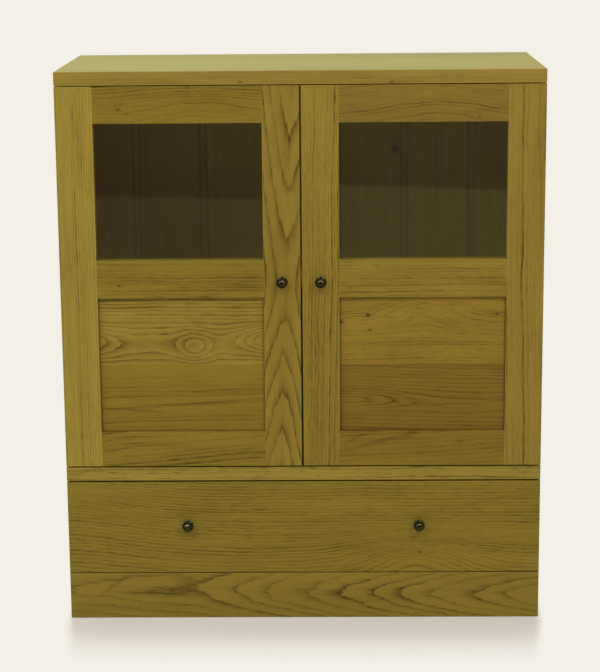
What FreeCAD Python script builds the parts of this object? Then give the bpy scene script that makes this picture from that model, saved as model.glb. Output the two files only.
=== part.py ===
# Oak cabinet: two framed doors, each with glass above a flat panel, over one wide drawer, on a plinth.
# The frame has X to the right seen from the front, Y to the back and Z up. Its origin lies on the floor,
# under the middle of the whole, knobs included. All sizes are in millimetres.
import FreeCAD, Part
import os
from types import SimpleNamespace

import Sketcher

SIZES = {
    # whole cabinet
    "cabinet_width": 900,
    "cabinet_depth": 400,
    "cabinet_height": 1050,
    # carcass boards
    "top_thickness": 25,
    "side_thickness": 25,
    "mid_board_thickness": 26,
    "bottom_board_thickness": 18,
    "housing_depth": 8,
    "edge_round": 1.5,
    # plinth
    "plinth_height": 90,
    "plinth_thickness": 22,
    "corner_block_side": 45,
    "corner_block_height": 70,
    # back boards, lapped with an open seam
    "back_board_thickness": 10,
    "back_edge_board_width": 95,
    "back_seam_width": 14,
    "back_lap_thickness": 5,
    "back_lap_width": 6,
    "back_lap_clearance": 0.5,
    "back_recess": 3,
    "back_rebate": 10,
    # shelf on pins
    "shelf_thickness": 20,
    "shelf_drop": 2,
    "shelf_clearance": 0.8,
    "shelf_front_setback": 12,
    "shelf_pin_radius": 3,
    "shelf_pin_depth": 9,
    "shelf_pin_head_radius": 4.5,
    "shelf_pin_head_length": 9,
    "shelf_pin_inset": 50,
    "shelf_hole_pitch": 32,
    "shelf_hole_spare": 1,
    # door and drawer fronts, all flush
    "front_thickness": 22,
    "front_clearance": 2,
    "door_gap_above": 2,
    "door_gap_below": 3,
    "door_gap_between": 3,
    "drawer_gap_above": 3,
    "drawer_gap_below": 1.5,
    "drawer_front_height": 180.5,
    # door frames
    "stile_width": 69,
    "top_rail_width": 68,
    "middle_rail_width": 71,
    "bottom_rail_width": 67,
    "glass_opening_height": 255,
    "groove_depth": 9,
    "tenon_length": 40,
    "tenon_shoulder": 12,
    "mortise_clearance": 0.8,
    "panel_setback": 7,
    "panel_thickness": 8,
    "panel_clearance": 0.8,
    "glass_thickness": 4,
    "bead_mitre_gap": 0.3,
    # door pivots
    "pivot_inset": 9,
    "pivot_pin_radius": 3,
    "pivot_pin_grip": 25,
    "pivot_pin_reach": 9,
    "pivot_collar_radius": 7,
    "pivot_collar_gap": 0.3,
    "bush_wall": 2,
    "bush_length": 12,
    "running_clearance": 0.05,
    # door catches
    "catch_width": 44,
    "catch_body_width": 28,
    "catch_depth": 16,
    "catch_height": 13,
    "catch_flange": 3,
    "catch_gap": 0.5,
    "strike_width": 36,
    "strike_height": 10,
    "strike_drop": 2,
    # knobs
    "knob_reach": 24,
    "knob_radius": 11,
    "knob_rim_thickness": 6,
    "knob_rim_round": 2,
    "knob_dome_radius": 8,
    "knob_neck_radius": 4.5,
    "knob_neck_length": 8,
    "knob_foot_radius": 7,
    "knob_foot_thickness": 2.5,
    "knob_cove_round": 1.2,
    "door_knob_drop": 40,
    "drawer_knob_spacing": 440,
    "drawer_knob_height": 97,
    "knob_screw_radius": 2,
    "knob_screw_grip": 10,
    "knob_screw_head_radius": 4,
    "knob_screw_head_height": 2.5,
    # wood screws and dowels
    "screw_radius": 1.75,
    "screw_length": 28,
    "screw_head_radius": 3.5,
    "screw_head_height": 2,
    "screw_hole_spare": 1,
    "dowel_radius": 4,
    "dowel_length": 36,
    "dowel_top_grip": 14,
    "dowel_plinth_grip": 18,
    "dowel_inset": 60,
    # drawer box and runners
    "drawer_side_thickness": 14,
    "drawer_side_height": 140,
    "drawer_side_gap": 4.5,
    "drawer_lift": 8,
    "drawer_rear_space": 14,
    "drawer_back_thickness": 12,
    "drawer_back_inset": 10,
    "drawer_back_housing": 5,
    "drawer_back_drop": 8,
    "drawer_bottom_thickness": 6,
    "drawer_bottom_rise": 10,
    "drawer_bottom_groove": 6,
    "drawer_bottom_clearance": 0.5,
    "dovetail_length": 8,
    "dovetail_root": 7,
    "dovetail_tip": 10,
    "runner_thickness": 12,
    "runner_height": 20,
    "runner_rise": 60,
    "runner_front_setback": 14,
    "runner_rear_space": 10,
    "runner_slack": 0.3,
    "runner_side_slack": 0.5,
    "runner_stop_slack": 0.4,
    "runner_screw_inset": 40,
}

UPWARD = FreeCAD.Vector(0, 0, 1)
SIDEWAYS = FreeCAD.Vector(1, 0, 0)
START_POINT, END_POINT, CENTRE_POINT = range(1, 4)
SKETCH_ORIGIN = LEVEL_AXIS = -1
UPRIGHT_AXIS = LEVEL_AXIS - 1
TOUCHING = 1e-6
FULL_BACK_BOARDS = 5

doc = FreeCAD.newDocument("GlassFrontCabinet")
sheet = doc.addObject("Spreadsheet::Sheet", "Sizes")
for row, (alias, size) in enumerate(SIZES.items(), start=1):
    sheet.set(f"A{row}", alias)
    sheet.set(f"B{row}", str(size))
    sheet.setAlias(f"B{row}", alias)
doc.recompute()


class Formula:
    """Text of a sheet formula. Arithmetic on it makes longer formulas, bound to the sheet's cells."""

    def __init__(self, text):
        self.text = text

    def __str__(self):
        return self.text

    def __add__(self, other):
        return Formula(f"({self} + {other})")

    def __radd__(self, other):
        return Formula(f"({other} + {self})")

    def __sub__(self, other):
        return Formula(f"({self} - {other})")

    def __rsub__(self, other):
        return Formula(f"({other} - {self})")

    def __mul__(self, other):
        return Formula(f"({self} * {other})")

    __rmul__ = __mul__

    def __truediv__(self, other):
        return Formula(f"({self} / {other})")

    def __neg__(self):
        return Formula(f"(0 - {self})")


def value(formula):
    return float(sheet.evalExpression(str(formula)))


# Helpers: how pieces are made, placed, cut and grouped.
nodes = []


def bind(thing, **formulas):
    for name, formula in formulas.items():
        thing.setExpression(name, str(formula))


def place(thing, x, y, z):
    for axis, formula in zip("xyz", (x, y, z)):
        thing.setExpression(f"Placement.Base.{axis}", str(formula))


def keep(thing):
    """Count a finished sub-part among those that are written out."""
    nodes.append(thing)
    return thing


def body(label, x, y, z, turn=0):
    """An empty piece whose own corner or axis sits at the place given, turned about Z by degrees."""
    thing = doc.addObject("PartDesign::Body", label)
    thing.Placement = FreeCAD.Placement(FreeCAD.Vector(), FreeCAD.Rotation(UPWARD, turn))
    place(thing, x, y, z)
    return thing


def block(owner, length, width, height, x=0, y=0, z=0, cut=False):
    kind = "Subtractive" if cut else "Additive"
    feature = owner.newObject(f"PartDesign::{kind}Box", "Block")
    bind(feature, Length=length, Width=width, Height=height)
    place(feature, x, y, z)


def rod(owner, radius, length, x, y, z, along, cut=False):
    kind = "Subtractive" if cut else "Additive"
    feature = owner.newObject(f"PartDesign::{kind}Cylinder", "Rod")
    turn = FreeCAD.Rotation(UPWARD, FreeCAD.Vector(*along))
    feature.Placement = FreeCAD.Placement(FreeCAD.Vector(), turn)
    bind(feature, Radius=radius, Height=length)
    place(feature, x, y, z)


def drill(owner, radius, depth, x, y, z, along):
    rod(owner, radius, depth, x, y, z, along, cut=True)


def tie(sketch, line, direction, formula, axis):
    """Hold the start of a sketch line at a distance from the origin, or on its axis where that is zero."""
    distance = value(formula)
    if abs(distance) < TOUCHING:
        sketch.addConstraint(Sketcher.Constraint("PointOnObject", line, START_POINT, axis))
        return
    spot = (SKETCH_ORIGIN, START_POINT, line, START_POINT)
    index = sketch.addConstraint(Sketcher.Constraint(direction, *spot, distance))
    sketch.setExpression(f"Constraints[{index}]", str(formula))


def dome_arc(edge, tip):
    """An arc centred on the upright axis, from a point beside it to a point on it."""
    centre = (edge.x**2 + edge.y**2 - tip.y**2) / (2 * (edge.y - tip.y))
    radius = tip.y - centre
    half_way = FreeCAD.Vector(edge.x, edge.y - centre, 0) + FreeCAD.Vector(0, radius, 0)
    half_way.normalize()
    return Part.Arc(edge, FreeCAD.Vector(0, centre, 0) + half_way * radius, tip)


def outline(owner, plane, corners, domed=None):
    """A closed sketch through corners bound to two formulas each. The side after corner domed is an arc."""
    sketch = owner.newObject("Sketcher::SketchObject", "Profile")
    support = next(feature for feature in owner.Origin.OriginFeatures if feature.Role == plane)
    sketch.AttachmentSupport = [(support, "")]
    sketch.MapMode = "FlatFace"
    points = [FreeCAD.Vector(value(across), value(up), 0) for across, up in corners]
    sides = []
    for number, (start, end) in enumerate(zip(points, points[1:] + points[:1])):
        side = dome_arc(start, end) if number == domed else Part.LineSegment(start, end)
        sides.append(sketch.addGeometry(side))
    for side, following in zip(sides, sides[1:] + sides[:1]):
        sketch.addConstraint(Sketcher.Constraint("Coincident", side, END_POINT, following, START_POINT))
    for side, (across, up) in zip(sides, corners):
        tie(sketch, side, "DistanceX", across, UPRIGHT_AXIS)
        tie(sketch, side, "DistanceY", up, LEVEL_AXIS)
    if domed is not None:
        sketch.addConstraint(Sketcher.Constraint("PointOnObject", sides[domed], CENTRE_POINT, UPRIGHT_AXIS))
    return sketch


def extrude(owner, plane, corners, length, cut=False, reverse=False):
    profile = outline(owner, plane, corners)
    feature = owner.newObject("PartDesign::Pocket" if cut else "PartDesign::Pad", "Extrusion")
    feature.Profile = profile
    feature.Reversed = reverse
    bind(feature, Length=length)


def turn(owner, corners, domed=None):
    """Revolve a profile of radii and heights about the piece's own Y axis."""
    profile = outline(owner, "XY_Plane", corners, domed)
    feature = owner.newObject("PartDesign::Revolution", "Turned")
    feature.Profile = profile
    feature.ReferenceAxis = (profile, ["V_Axis"])
    feature.Angle = 360


def ease(owner, radius, chosen):
    """Round the edges of a piece that chosen picks."""
    doc.recompute()
    base = owner.Tip
    edges = [f"Edge{n}" for n, edge in enumerate(base.Shape.Edges, start=1) if chosen(edge)]
    fillet = owner.newObject("PartDesign::Fillet", "Eased")
    fillet.Base = (base, edges)
    bind(fillet, Radius=radius)


def near(distance, formula):
    return abs(distance - value(formula)) < TOUCHING


def middle_at(**spots):
    """A test for the edges whose middle lies at the places given along the axes given."""
    return lambda edge: all(near(getattr(edge.CenterOfMass, axis), spot) for axis, spot in spots.items())


def ring_of(radius):
    """A test for the level rings of a turned piece that have the radius given."""
    return lambda edge: near(edge.BoundBox.XMax, radius) and near(edge.BoundBox.YLength, 0)


def mirrored(label, source):
    """The same piece on the other side of the cabinet's middle plane."""
    twin = doc.addObject("Part::Mirroring", label)
    twin.Source = source
    twin.Normal = SIDEWAYS
    return twin


def group(label, members):
    thing = doc.addObject("Part::Compound", label)
    thing.Links = members
    return keep(thing)


def screw(label, x, y, z, turned, head_radius, head_height, radius, length):
    """A pan-head screw that points along its own Y axis from the outer end of its head."""
    thing = body(label, x, y, z, turned)
    tip = head_height + length
    shank = [(radius, head_height), (radius, tip), (0, tip)]
    turn(thing, [(0, 0), (head_radius, 0), (head_radius, head_height), *shank])
    return thing


# Planes, levels and widths that several pieces share.
s = SimpleNamespace(**{alias: Formula(f"Sizes.{alias}") for alias in SIZES})

front = (s.knob_reach - s.cabinet_depth) / 2
back = front + s.cabinet_depth
carcass_front = front + s.front_thickness + s.front_clearance
back_boards_rear = back - s.back_recess
back_boards_front = back_boards_rear - s.back_board_thickness
back_rebate_depth = s.back_recess + s.back_board_thickness
carcass_depth = back - carcass_front

half_width = s.cabinet_width / 2
inner_half_width = half_width - s.side_thickness
housed_half_width = inner_half_width + s.housing_depth
back_half_width = inner_half_width + s.back_rebate

top_underside = s.cabinet_height - s.top_thickness
bottom_board_top = s.plinth_height + s.bottom_board_thickness
drawer_front_bottom = s.plinth_height + s.drawer_gap_below
drawer_front_top = drawer_front_bottom + s.drawer_front_height
mid_board_bottom = drawer_front_top + s.drawer_gap_above
mid_board_top = mid_board_bottom + s.mid_board_thickness

door_bottom = mid_board_top + s.door_gap_below
door_top = top_underside - s.door_gap_above
door_height = door_top - door_bottom
door_width = (s.cabinet_width - s.door_gap_between) / 2
door_opening_width = door_width - 2 * s.stile_width
glass_top = door_top - s.top_rail_width
glass_bottom = glass_top - s.glass_opening_height
panel_top = glass_bottom - s.middle_rail_width
panel_bottom = door_bottom + s.bottom_rail_width
panel_joint = (panel_top + panel_bottom) / 2
meeting_stile_left = s.stile_width + door_opening_width - half_width
meeting_stile_middle = meeting_stile_left + s.stile_width / 2

pivot_left = s.pivot_inset - half_width
pivot_depth = front + s.front_thickness - s.pivot_inset
bush_bore = s.pivot_pin_radius + s.running_clearance
bush_radius = bush_bore + s.bush_wall
bush_hole = bush_radius + s.running_clearance

shelf_top = panel_top - s.shelf_drop
shelf_bottom = shelf_top - s.shelf_thickness
shelf_front = carcass_front + s.shelf_front_setback
shelf_back = back_boards_front - s.shelf_clearance
shelf_pin_rows = (shelf_front + s.shelf_pin_inset, shelf_back - s.shelf_pin_inset)
shelf_pin_level = shelf_bottom - s.shelf_pin_head_radius - s.running_clearance

drawer_half_width = inner_half_width - s.drawer_side_gap
drawer_inner_half_width = drawer_half_width - s.drawer_side_thickness
drawer_box_front = front + s.front_thickness
drawer_box_back = back_boards_front - s.drawer_rear_space
drawer_box_bottom = bottom_board_top + s.drawer_lift
drawer_box_top = drawer_box_bottom + s.drawer_side_height
drawer_bottom_level = drawer_box_bottom + s.drawer_bottom_rise
drawer_back_rear = drawer_box_back - s.drawer_back_inset

runner_front = carcass_front + s.runner_front_setback
runner_length = back_boards_front - s.runner_rear_space - runner_front
runner_level = drawer_box_bottom + s.runner_rise
runner_groove = s.runner_thickness - s.drawer_side_gap + s.runner_side_slack
runner_screw_rows = [
    s.runner_screw_inset,
    runner_length / 2,
    runner_length - s.runner_screw_inset,
]

screw_hole = s.screw_radius + s.running_clearance
screw_hole_depth = s.screw_length + s.screw_hole_spare
dowel_hole = s.dowel_radius + s.running_clearance
dowel_lines = [
    carcass_front + s.dowel_inset,
    carcass_front + carcass_depth / 2,
    back_boards_front - s.dowel_inset,
]
side_middle = s.side_thickness / 2 - half_width

# The back is split evenly into full boards between two cut boards at its ends.
back_screw_levels = [
    s.plinth_height + s.bottom_board_thickness / 2,
    mid_board_bottom + s.mid_board_thickness / 2,
    top_underside + s.back_rebate / 2,
]
first_seam = s.back_edge_board_width - back_half_width
back_board_pitch = -2 * first_seam / FULL_BACK_BOARDS
seams = [first_seam + number * back_board_pitch for number in range(FULL_BACK_BOARDS + 1)]
back_board_starts = [-back_half_width, *[seam + s.back_seam_width / 2 for seam in seams]]
back_board_ends = [*[seam - s.back_seam_width / 2 for seam in seams], back_half_width]
back_board_middles = [(start + end) / 2 for start, end in zip(back_board_starts, back_board_ends)]


def make_top_board():
    top = keep(body("top_board", -half_width, front, top_underside))
    block(top, s.cabinet_width, s.cabinet_depth, s.top_thickness)
    ease(top, s.edge_round, lambda edge: not near(edge.CenterOfMass.z, 0))
    rebate_start = half_width - back_half_width
    rebate_front = s.cabinet_depth - back_rebate_depth
    block(top, 2 * back_half_width, back_rebate_depth, s.back_rebate, rebate_start, rebate_front, cut=True)
    for side in (-1, 1):
        pivot_spot = (half_width + side * pivot_left, pivot_depth - front)
        drill(top, bush_hole, s.bush_length, *pivot_spot, 0, (0, 0, 1))
        for line in dowel_lines:
            depth = s.dowel_top_grip + s.mortise_clearance
            drill(top, dowel_hole, depth, half_width + side * side_middle, line - front, 0, (0, 0, 1))
    for middle in back_board_middles:
        spot = (half_width + middle, rebate_front, s.back_rebate / 2)
        drill(top, screw_hole, screw_hole_depth - s.back_board_thickness, *spot, (0, -1, 0))


def make_sides():
    side = keep(body("side_left", -half_width, carcass_front, s.plinth_height))
    height = top_underside - s.plinth_height
    housed_depth = carcass_depth - back_rebate_depth
    block(side, s.side_thickness, carcass_depth, height)
    rebate = s.side_thickness - s.back_rebate
    block(side, s.back_rebate, back_rebate_depth, height, rebate, housed_depth, cut=True)
    housing = s.side_thickness - s.housing_depth
    for bottom, thickness in (
        (mid_board_bottom - s.plinth_height, s.mid_board_thickness),
        (0, s.bottom_board_thickness),
    ):
        block(side, s.housing_depth, housed_depth, thickness, housing, 0, bottom, cut=True)
    for row in shelf_pin_rows:
        for step in (-2, -1, 0, 1, 2):
            level = shelf_pin_level + step * s.shelf_hole_pitch - s.plinth_height
            spot = (s.side_thickness, row - carcass_front, level)
            hole = s.shelf_pin_radius + s.running_clearance
            drill(side, hole, s.shelf_pin_depth + s.shelf_hole_spare, *spot, (-1, 0, 0))
    for line in dowel_lines:
        spot = (s.side_thickness / 2, line - carcass_front)
        top_depth = s.dowel_length - s.dowel_top_grip + s.mortise_clearance
        drill(side, dowel_hole, top_depth, *spot, height, (0, 0, -1))
        bottom_depth = s.dowel_length - s.dowel_plinth_grip + s.mortise_clearance
        drill(side, dowel_hole, bottom_depth, *spot, 0, (0, 0, 1))
    for row in runner_screw_rows:
        level = runner_level + s.runner_height / 2 - s.plinth_height
        spot = (s.side_thickness, runner_front + row - carcass_front, level)
        depth = screw_hole_depth + s.screw_head_height - s.runner_thickness
        drill(side, screw_hole, depth, *spot, (-1, 0, 0))
    keep(mirrored("side_right", side))


def make_mid_board():
    board = keep(body("mid_board", -half_width, front, mid_board_bottom))
    nose_depth = carcass_front - front
    block(board, s.cabinet_width, nose_depth, s.mid_board_thickness)
    ease(board, s.edge_round, middle_at(y=0))
    housed = (2 * housed_half_width, back_boards_front - carcass_front, s.mid_board_thickness)
    block(board, *housed, half_width - housed_half_width, nose_depth)
    for side in (-1, 1):
        spot = (half_width + side * pivot_left, pivot_depth - front, s.mid_board_thickness)
        drill(board, bush_hole, s.bush_length, *spot, (0, 0, -1))
    for middle in back_board_middles:
        spot = (half_width + middle, back_boards_front - front, s.mid_board_thickness / 2)
        drill(board, screw_hole, screw_hole_depth - s.back_board_thickness, *spot, (0, -1, 0))


def make_bottom_board():
    board = keep(body("bottom_board", -housed_half_width, carcass_front, s.plinth_height))
    depth = back_boards_front - carcass_front
    block(board, 2 * housed_half_width, depth, s.bottom_board_thickness)
    for middle in back_board_middles:
        spot = (housed_half_width + middle, depth, s.bottom_board_thickness / 2)
        drill(board, screw_hole, screw_hole_depth - s.back_board_thickness, *spot, (0, -1, 0))


def make_plinth():
    face = keep(body("plinth_front", -half_width, front, 0))
    block(face, s.cabinet_width, s.plinth_thickness, s.plinth_height)
    ease(face, s.edge_round, middle_at(y=0))
    end = keep(body("plinth_left", -half_width, front + s.plinth_thickness, 0))
    block(end, s.plinth_thickness, s.cabinet_depth - s.plinth_thickness, s.plinth_height)
    for line in dowel_lines:
        spot = (s.side_thickness / 2, line - front - s.plinth_thickness, s.plinth_height)
        drill(end, dowel_hole, s.dowel_plinth_grip + s.mortise_clearance, *spot, (0, 0, -1))
    keep(mirrored("plinth_right", end))
    inner_left = s.plinth_thickness - half_width
    inner_back = back - s.plinth_thickness
    rear = keep(body("plinth_back", inner_left, inner_back, 0))
    block(rear, -2 * inner_left, s.plinth_thickness, s.plinth_height)
    reach = s.corner_block_side
    level = s.plinth_height - s.corner_block_height
    front_block = body("corner_block_front", inner_left, front + s.plinth_thickness, level)
    extrude(front_block, "XY_Plane", [(0, 0), (reach, 0), (0, reach)], s.corner_block_height)
    back_block = body("corner_block_back", inner_left, inner_back - reach, level)
    extrude(back_block, "XY_Plane", [(0, 0), (reach, reach), (0, reach)], s.corner_block_height)
    blocks = [front_block, back_block]
    twins = [mirrored(f"{thing.Name}_twin", thing) for thing in blocks]
    group("plinth_corner_blocks", blocks + twins)


def make_back_boards():
    """Each board's front layer stops at the seams, and its rear layer laps under the next board."""
    height = top_underside + s.back_rebate - s.plinth_height
    lap_front = s.back_board_thickness - s.back_lap_thickness
    last = len(back_board_starts) - 1
    for number, (start, end) in enumerate(zip(back_board_starts, back_board_ends)):
        width = end - start
        rear_start = 0 if number == 0 else s.back_lap_width + s.back_lap_clearance
        rear_end = width if number == last else width + s.back_seam_width + s.back_lap_width
        front_layer = [(width, lap_front), (width, 0), (0, 0), (0, lap_front)]
        rear_layer = [(rear_start, s.back_board_thickness), (rear_end, s.back_board_thickness)]
        if number == 0:
            front_layer.pop()
        else:
            front_layer.append((rear_start, lap_front))
        if number == last:
            front_layer.pop(0)
        else:
            rear_layer.append((rear_end, lap_front))
        board = keep(body(f"back_board_{number + 1}", start, back_boards_front, s.plinth_height))
        extrude(board, "XY_Plane", front_layer + rear_layer, height)
        for level in back_screw_levels:
            spot = (width / 2, 0, level - s.plinth_height)
            drill(board, screw_hole, s.back_board_thickness, *spot, (0, 1, 0))


def make_shelf():
    left = s.shelf_clearance - inner_half_width
    shelf = keep(body("shelf", left, shelf_front, shelf_bottom))
    block(shelf, -2 * left, shelf_back - shelf_front, s.shelf_thickness)
    ease(shelf, s.edge_round, middle_at(y=0))
    pins = []
    for name, row in zip(("front", "back"), shelf_pin_rows):
        pin = body(f"shelf_pin_{name}", -inner_half_width, row, shelf_pin_level)
        rod(pin, s.shelf_pin_head_radius, s.shelf_pin_head_length, 0, 0, 0, (1, 0, 0))
        rod(pin, s.shelf_pin_radius, s.shelf_pin_depth, 0, 0, 0, (-1, 0, 0))
        pins += [pin, mirrored(f"{pin.Name}_twin", pin)]
    group("shelf_pins", pins)


def make_runners():
    runner = keep(body("drawer_runner_left", -inner_half_width, runner_front, runner_level))
    block(runner, s.runner_thickness, runner_length, s.runner_height)
    for row in runner_screw_rows:
        spot = (s.runner_thickness, row, s.runner_height / 2)
        drill(runner, screw_hole, s.runner_thickness, *spot, (-1, 0, 0))
        head_hole = s.screw_head_radius + s.running_clearance
        drill(runner, head_hole, s.screw_head_height, *spot, (-1, 0, 0))
    keep(mirrored("drawer_runner_right", runner))


def make_dowels():
    dowels = []
    for line in dowel_lines:
        for name, bottom in (
            ("top", top_underside + s.dowel_top_grip - s.dowel_length),
            ("plinth", s.plinth_height - s.dowel_plinth_grip),
        ):
            dowel = doc.addObject("Part::Cylinder", f"dowel_{name}")
            bind(dowel, Radius=s.dowel_radius, Height=s.dowel_length)
            place(dowel, side_middle, line, bottom)
            dowels += [dowel, mirrored(f"{dowel.Name}_twin", dowel)]
    group("carcass_dowels", dowels)


def make_wood_screws():
    """One kind of pan-head screw holds the back boards and the runners."""
    shape = (s.screw_head_radius, s.screw_head_height, s.screw_radius, s.screw_length)
    screws = []
    for level in back_screw_levels:
        for middle in back_board_middles:
            head_end = back_boards_rear + s.screw_head_height
            screws.append(screw("back_screw", middle, head_end, level, 180, *shape))
    level = runner_level + s.runner_height / 2
    for row in runner_screw_rows:
        head_end = s.runner_thickness - inner_half_width
        left = screw("runner_screw", head_end, runner_front + row, level, 90, *shape)
        screws += [left, mirrored(f"{left.Name}_twin", left)]
    group("wood_screws", screws)


def make_pivot_bushes():
    bushes = []
    for name, bottom in (("top", top_underside), ("bottom", mid_board_top - s.bush_length)):
        bush = body(f"pivot_bush_{name}", pivot_left, pivot_depth, bottom)
        rod(bush, bush_radius, s.bush_length, 0, 0, 0, (0, 0, 1))
        drill(bush, bush_bore, s.bush_length, 0, 0, 0, (0, 0, 1))
        bushes += [bush, mirrored(f"{bush.Name}_twin", bush)]
    group("pivot_bushes", bushes)


def make_catches():
    """A flanged catch under the top board meets a strike plate on the back of each meeting stile."""
    left = meeting_stile_middle - s.catch_width / 2
    catch = body("magnet_catch", left, carcass_front, top_underside - s.catch_height)
    ear = (s.catch_width - s.catch_body_width) / 2
    shoulder = s.catch_height - s.catch_flange
    left_half = [(0, s.catch_height), (0, shoulder), (ear, shoulder), (ear, 0)]
    right_half = [(s.catch_width - across, up) for across, up in reversed(left_half)]
    extrude(catch, "XZ_Plane", left_half + right_half, s.catch_depth, reverse=True)
    group("magnet_catches", [catch, mirrored("magnet_catch_twin", catch)])
    strike_left = meeting_stile_middle - s.strike_width / 2
    strike_bottom = door_top - s.strike_drop - s.strike_height
    strike = body("left_door_strike_plate", strike_left, front + s.front_thickness, strike_bottom)
    block(strike, s.strike_width, s.front_clearance - s.catch_gap, s.strike_height)
    return strike


def make_stile(label, left, opening_side):
    """A door stile, mortised, grooved for the panel and rebated for the glass along its opening side."""
    stile = body(label, left, front, door_bottom)
    block(stile, s.stile_width, s.front_thickness, door_height)
    outer_side = 0 if opening_side == "right" else s.stile_width
    ease(stile, s.edge_round, middle_at(x=outer_side, y=0))
    if opening_side == "right":
        ease(stile, s.pivot_inset, middle_at(x=outer_side, y=s.front_thickness))

    def cut_in(depth, thickness, bottom, top):
        left_end = s.stile_width - depth if opening_side == "right" else 0
        spot = (left_end, s.panel_setback, bottom - door_bottom)
        block(stile, depth, thickness, top - bottom, *spot, cut=True)

    glass_room = s.front_thickness - s.panel_setback
    cut_in(s.groove_depth, glass_room, glass_bottom - s.groove_depth, glass_top + s.groove_depth)
    cut_in(s.groove_depth, s.panel_thickness, panel_bottom - s.groove_depth, panel_top + s.groove_depth)
    for bottom, top in ((door_bottom, panel_bottom), (panel_top, glass_bottom), (glass_top, door_top)):
        tenon = (bottom + s.tenon_shoulder, top - s.tenon_shoulder)
        cut_in(s.tenon_length + s.mortise_clearance, s.panel_thickness, *tenon)
    return stile


def make_rail(label, bottom, width, section):
    """A door rail of the given section, with a tenon at each end."""
    rail = body(label, s.stile_width - half_width, front, bottom)
    extrude(rail, "YZ_Plane", section, door_opening_width)
    for left in (-s.tenon_length, door_opening_width):
        size = (s.tenon_length, s.panel_thickness, width - 2 * s.tenon_shoulder)
        block(rail, *size, left, s.panel_setback, s.tenon_shoulder)
    return rail


def rail_edge(cut_to, level, into):
    """The edge of a rail's section, from its front face's setback into a cut and to the cut's far side."""
    return [(s.panel_setback, level), (s.panel_setback, into), (cut_to, into)]


def make_door_rails():
    rear = s.front_thickness
    groove_rear = s.panel_setback + s.panel_thickness
    depth = s.groove_depth
    top_width = s.top_rail_width
    top_section = [(0, 0), *rail_edge(rear, 0, depth), (rear, top_width), (0, top_width)]
    yield make_rail("left_door_top_rail", glass_top, top_width, top_section)
    width = s.middle_rail_width
    lower_edge = [(0, 0), *rail_edge(groove_rear, 0, depth), (groove_rear, 0), (rear, 0)]
    upper_edge = [*reversed(rail_edge(rear, width, width - depth)), (0, width)]
    yield make_rail("left_door_middle_rail", panel_top, width, lower_edge + upper_edge)
    low_width = s.bottom_rail_width
    grooved_edge = [*reversed(rail_edge(groove_rear, low_width, low_width - depth)), (0, low_width)]
    low_section = [(0, 0), (rear, 0), (rear, low_width), (groove_rear, low_width), *grooved_edge]
    yield make_rail("left_door_bottom_rail", door_bottom, low_width, low_section)


def make_door_panel():
    """Two edge-glued boards in the frame's grooves, standing on the bottom rail's groove."""
    left = s.stile_width - half_width - s.groove_depth + s.panel_clearance
    width = door_opening_width + 2 * (s.groove_depth - s.panel_clearance)
    panel_foot = panel_bottom - s.groove_depth
    panel_head = panel_top + s.groove_depth - s.panel_clearance
    for name, bottom, top in (("lower", panel_foot, panel_joint), ("upper", panel_joint, panel_head)):
        board = body(f"left_door_panel_{name}", left, front + s.panel_setback, bottom)
        block(board, width, s.panel_thickness, top - bottom)
        yield board


def make_door_glazing():
    """A pane that stands in the rebate, and four beads, mitred with a hairline gap, behind it."""
    rebate_left = s.stile_width - half_width - s.groove_depth
    rebate_bottom = glass_bottom - s.groove_depth
    rebate_width = door_opening_width + 2 * s.groove_depth
    rebate_height = s.glass_opening_height + 2 * s.groove_depth
    pane_place = (rebate_left + s.panel_clearance, front + s.panel_setback, rebate_bottom)
    pane = body("left_door_glass", *pane_place)
    pane_width = rebate_width - 2 * s.panel_clearance
    block(pane, pane_width, s.glass_thickness, rebate_height - s.panel_clearance)
    wide = s.groove_depth
    bead_front = front + s.panel_setback + s.glass_thickness
    bead_thickness = s.front_thickness - s.panel_setback - s.glass_thickness
    right, head = rebate_width, rebate_height
    gap = s.bead_mitre_gap
    level_start, level_end = gap, right - gap
    outlines = {
        "bottom": [(level_start, 0), (level_end, 0), (level_end - wide, wide), (level_start + wide, wide)],
        "right": [(right, 0), (right, head), (right - wide, head - wide), (right - wide, wide)],
        "top": [
            (level_end, head),
            (level_start, head),
            (level_start + wide, head - wide),
            (level_end - wide, head - wide),
        ],
        "left": [(0, head), (0, 0), (wide, wide), (wide, head - wide)],
    }
    beads = []
    for name, corners in outlines.items():
        bead = body(f"left_door_bead_{name}", rebate_left, bead_front, rebate_bottom)
        extrude(bead, "XZ_Plane", corners, bead_thickness, reverse=True)
        beads.append(bead)
    return pane, beads


def make_knob(label, x, z):
    """A turned knob: foot, neck, rim and dome, with a blind bore for its screw."""
    knob = body(label, x, front, z, 180)
    rim_rear = s.knob_foot_thickness + s.knob_neck_length
    rim_front = rim_rear + s.knob_rim_thickness
    foot = [(0, 0), (s.knob_foot_radius, 0), (s.knob_foot_radius, s.knob_foot_thickness)]
    neck = [(s.knob_neck_radius, s.knob_foot_thickness), (s.knob_neck_radius, rim_rear)]
    rim = [(s.knob_radius, rim_rear), (s.knob_radius, rim_front), (s.knob_dome_radius, rim_front)]
    profile = [*foot, *neck, *rim, (0, s.knob_reach)]
    turn(knob, profile, domed=len(profile) - 2)
    ease(knob, s.knob_rim_round, ring_of(s.knob_radius))
    ease(knob, s.knob_cove_round, ring_of(s.knob_neck_radius))
    bore = s.knob_screw_radius + s.running_clearance
    drill(knob, bore, s.knob_screw_grip + s.screw_hole_spare, 0, 0, 0, (0, 1, 0))
    return knob


def make_knob_screw(label, x, z):
    """A machine screw from behind the front, through it and into the knob."""
    head_end = front + s.front_thickness + s.knob_screw_head_height
    length = s.front_thickness + s.knob_screw_grip
    shape = (s.knob_screw_head_radius, s.knob_screw_head_height, s.knob_screw_radius, length)
    return screw(label, x, head_end, z, 180, *shape)


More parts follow.
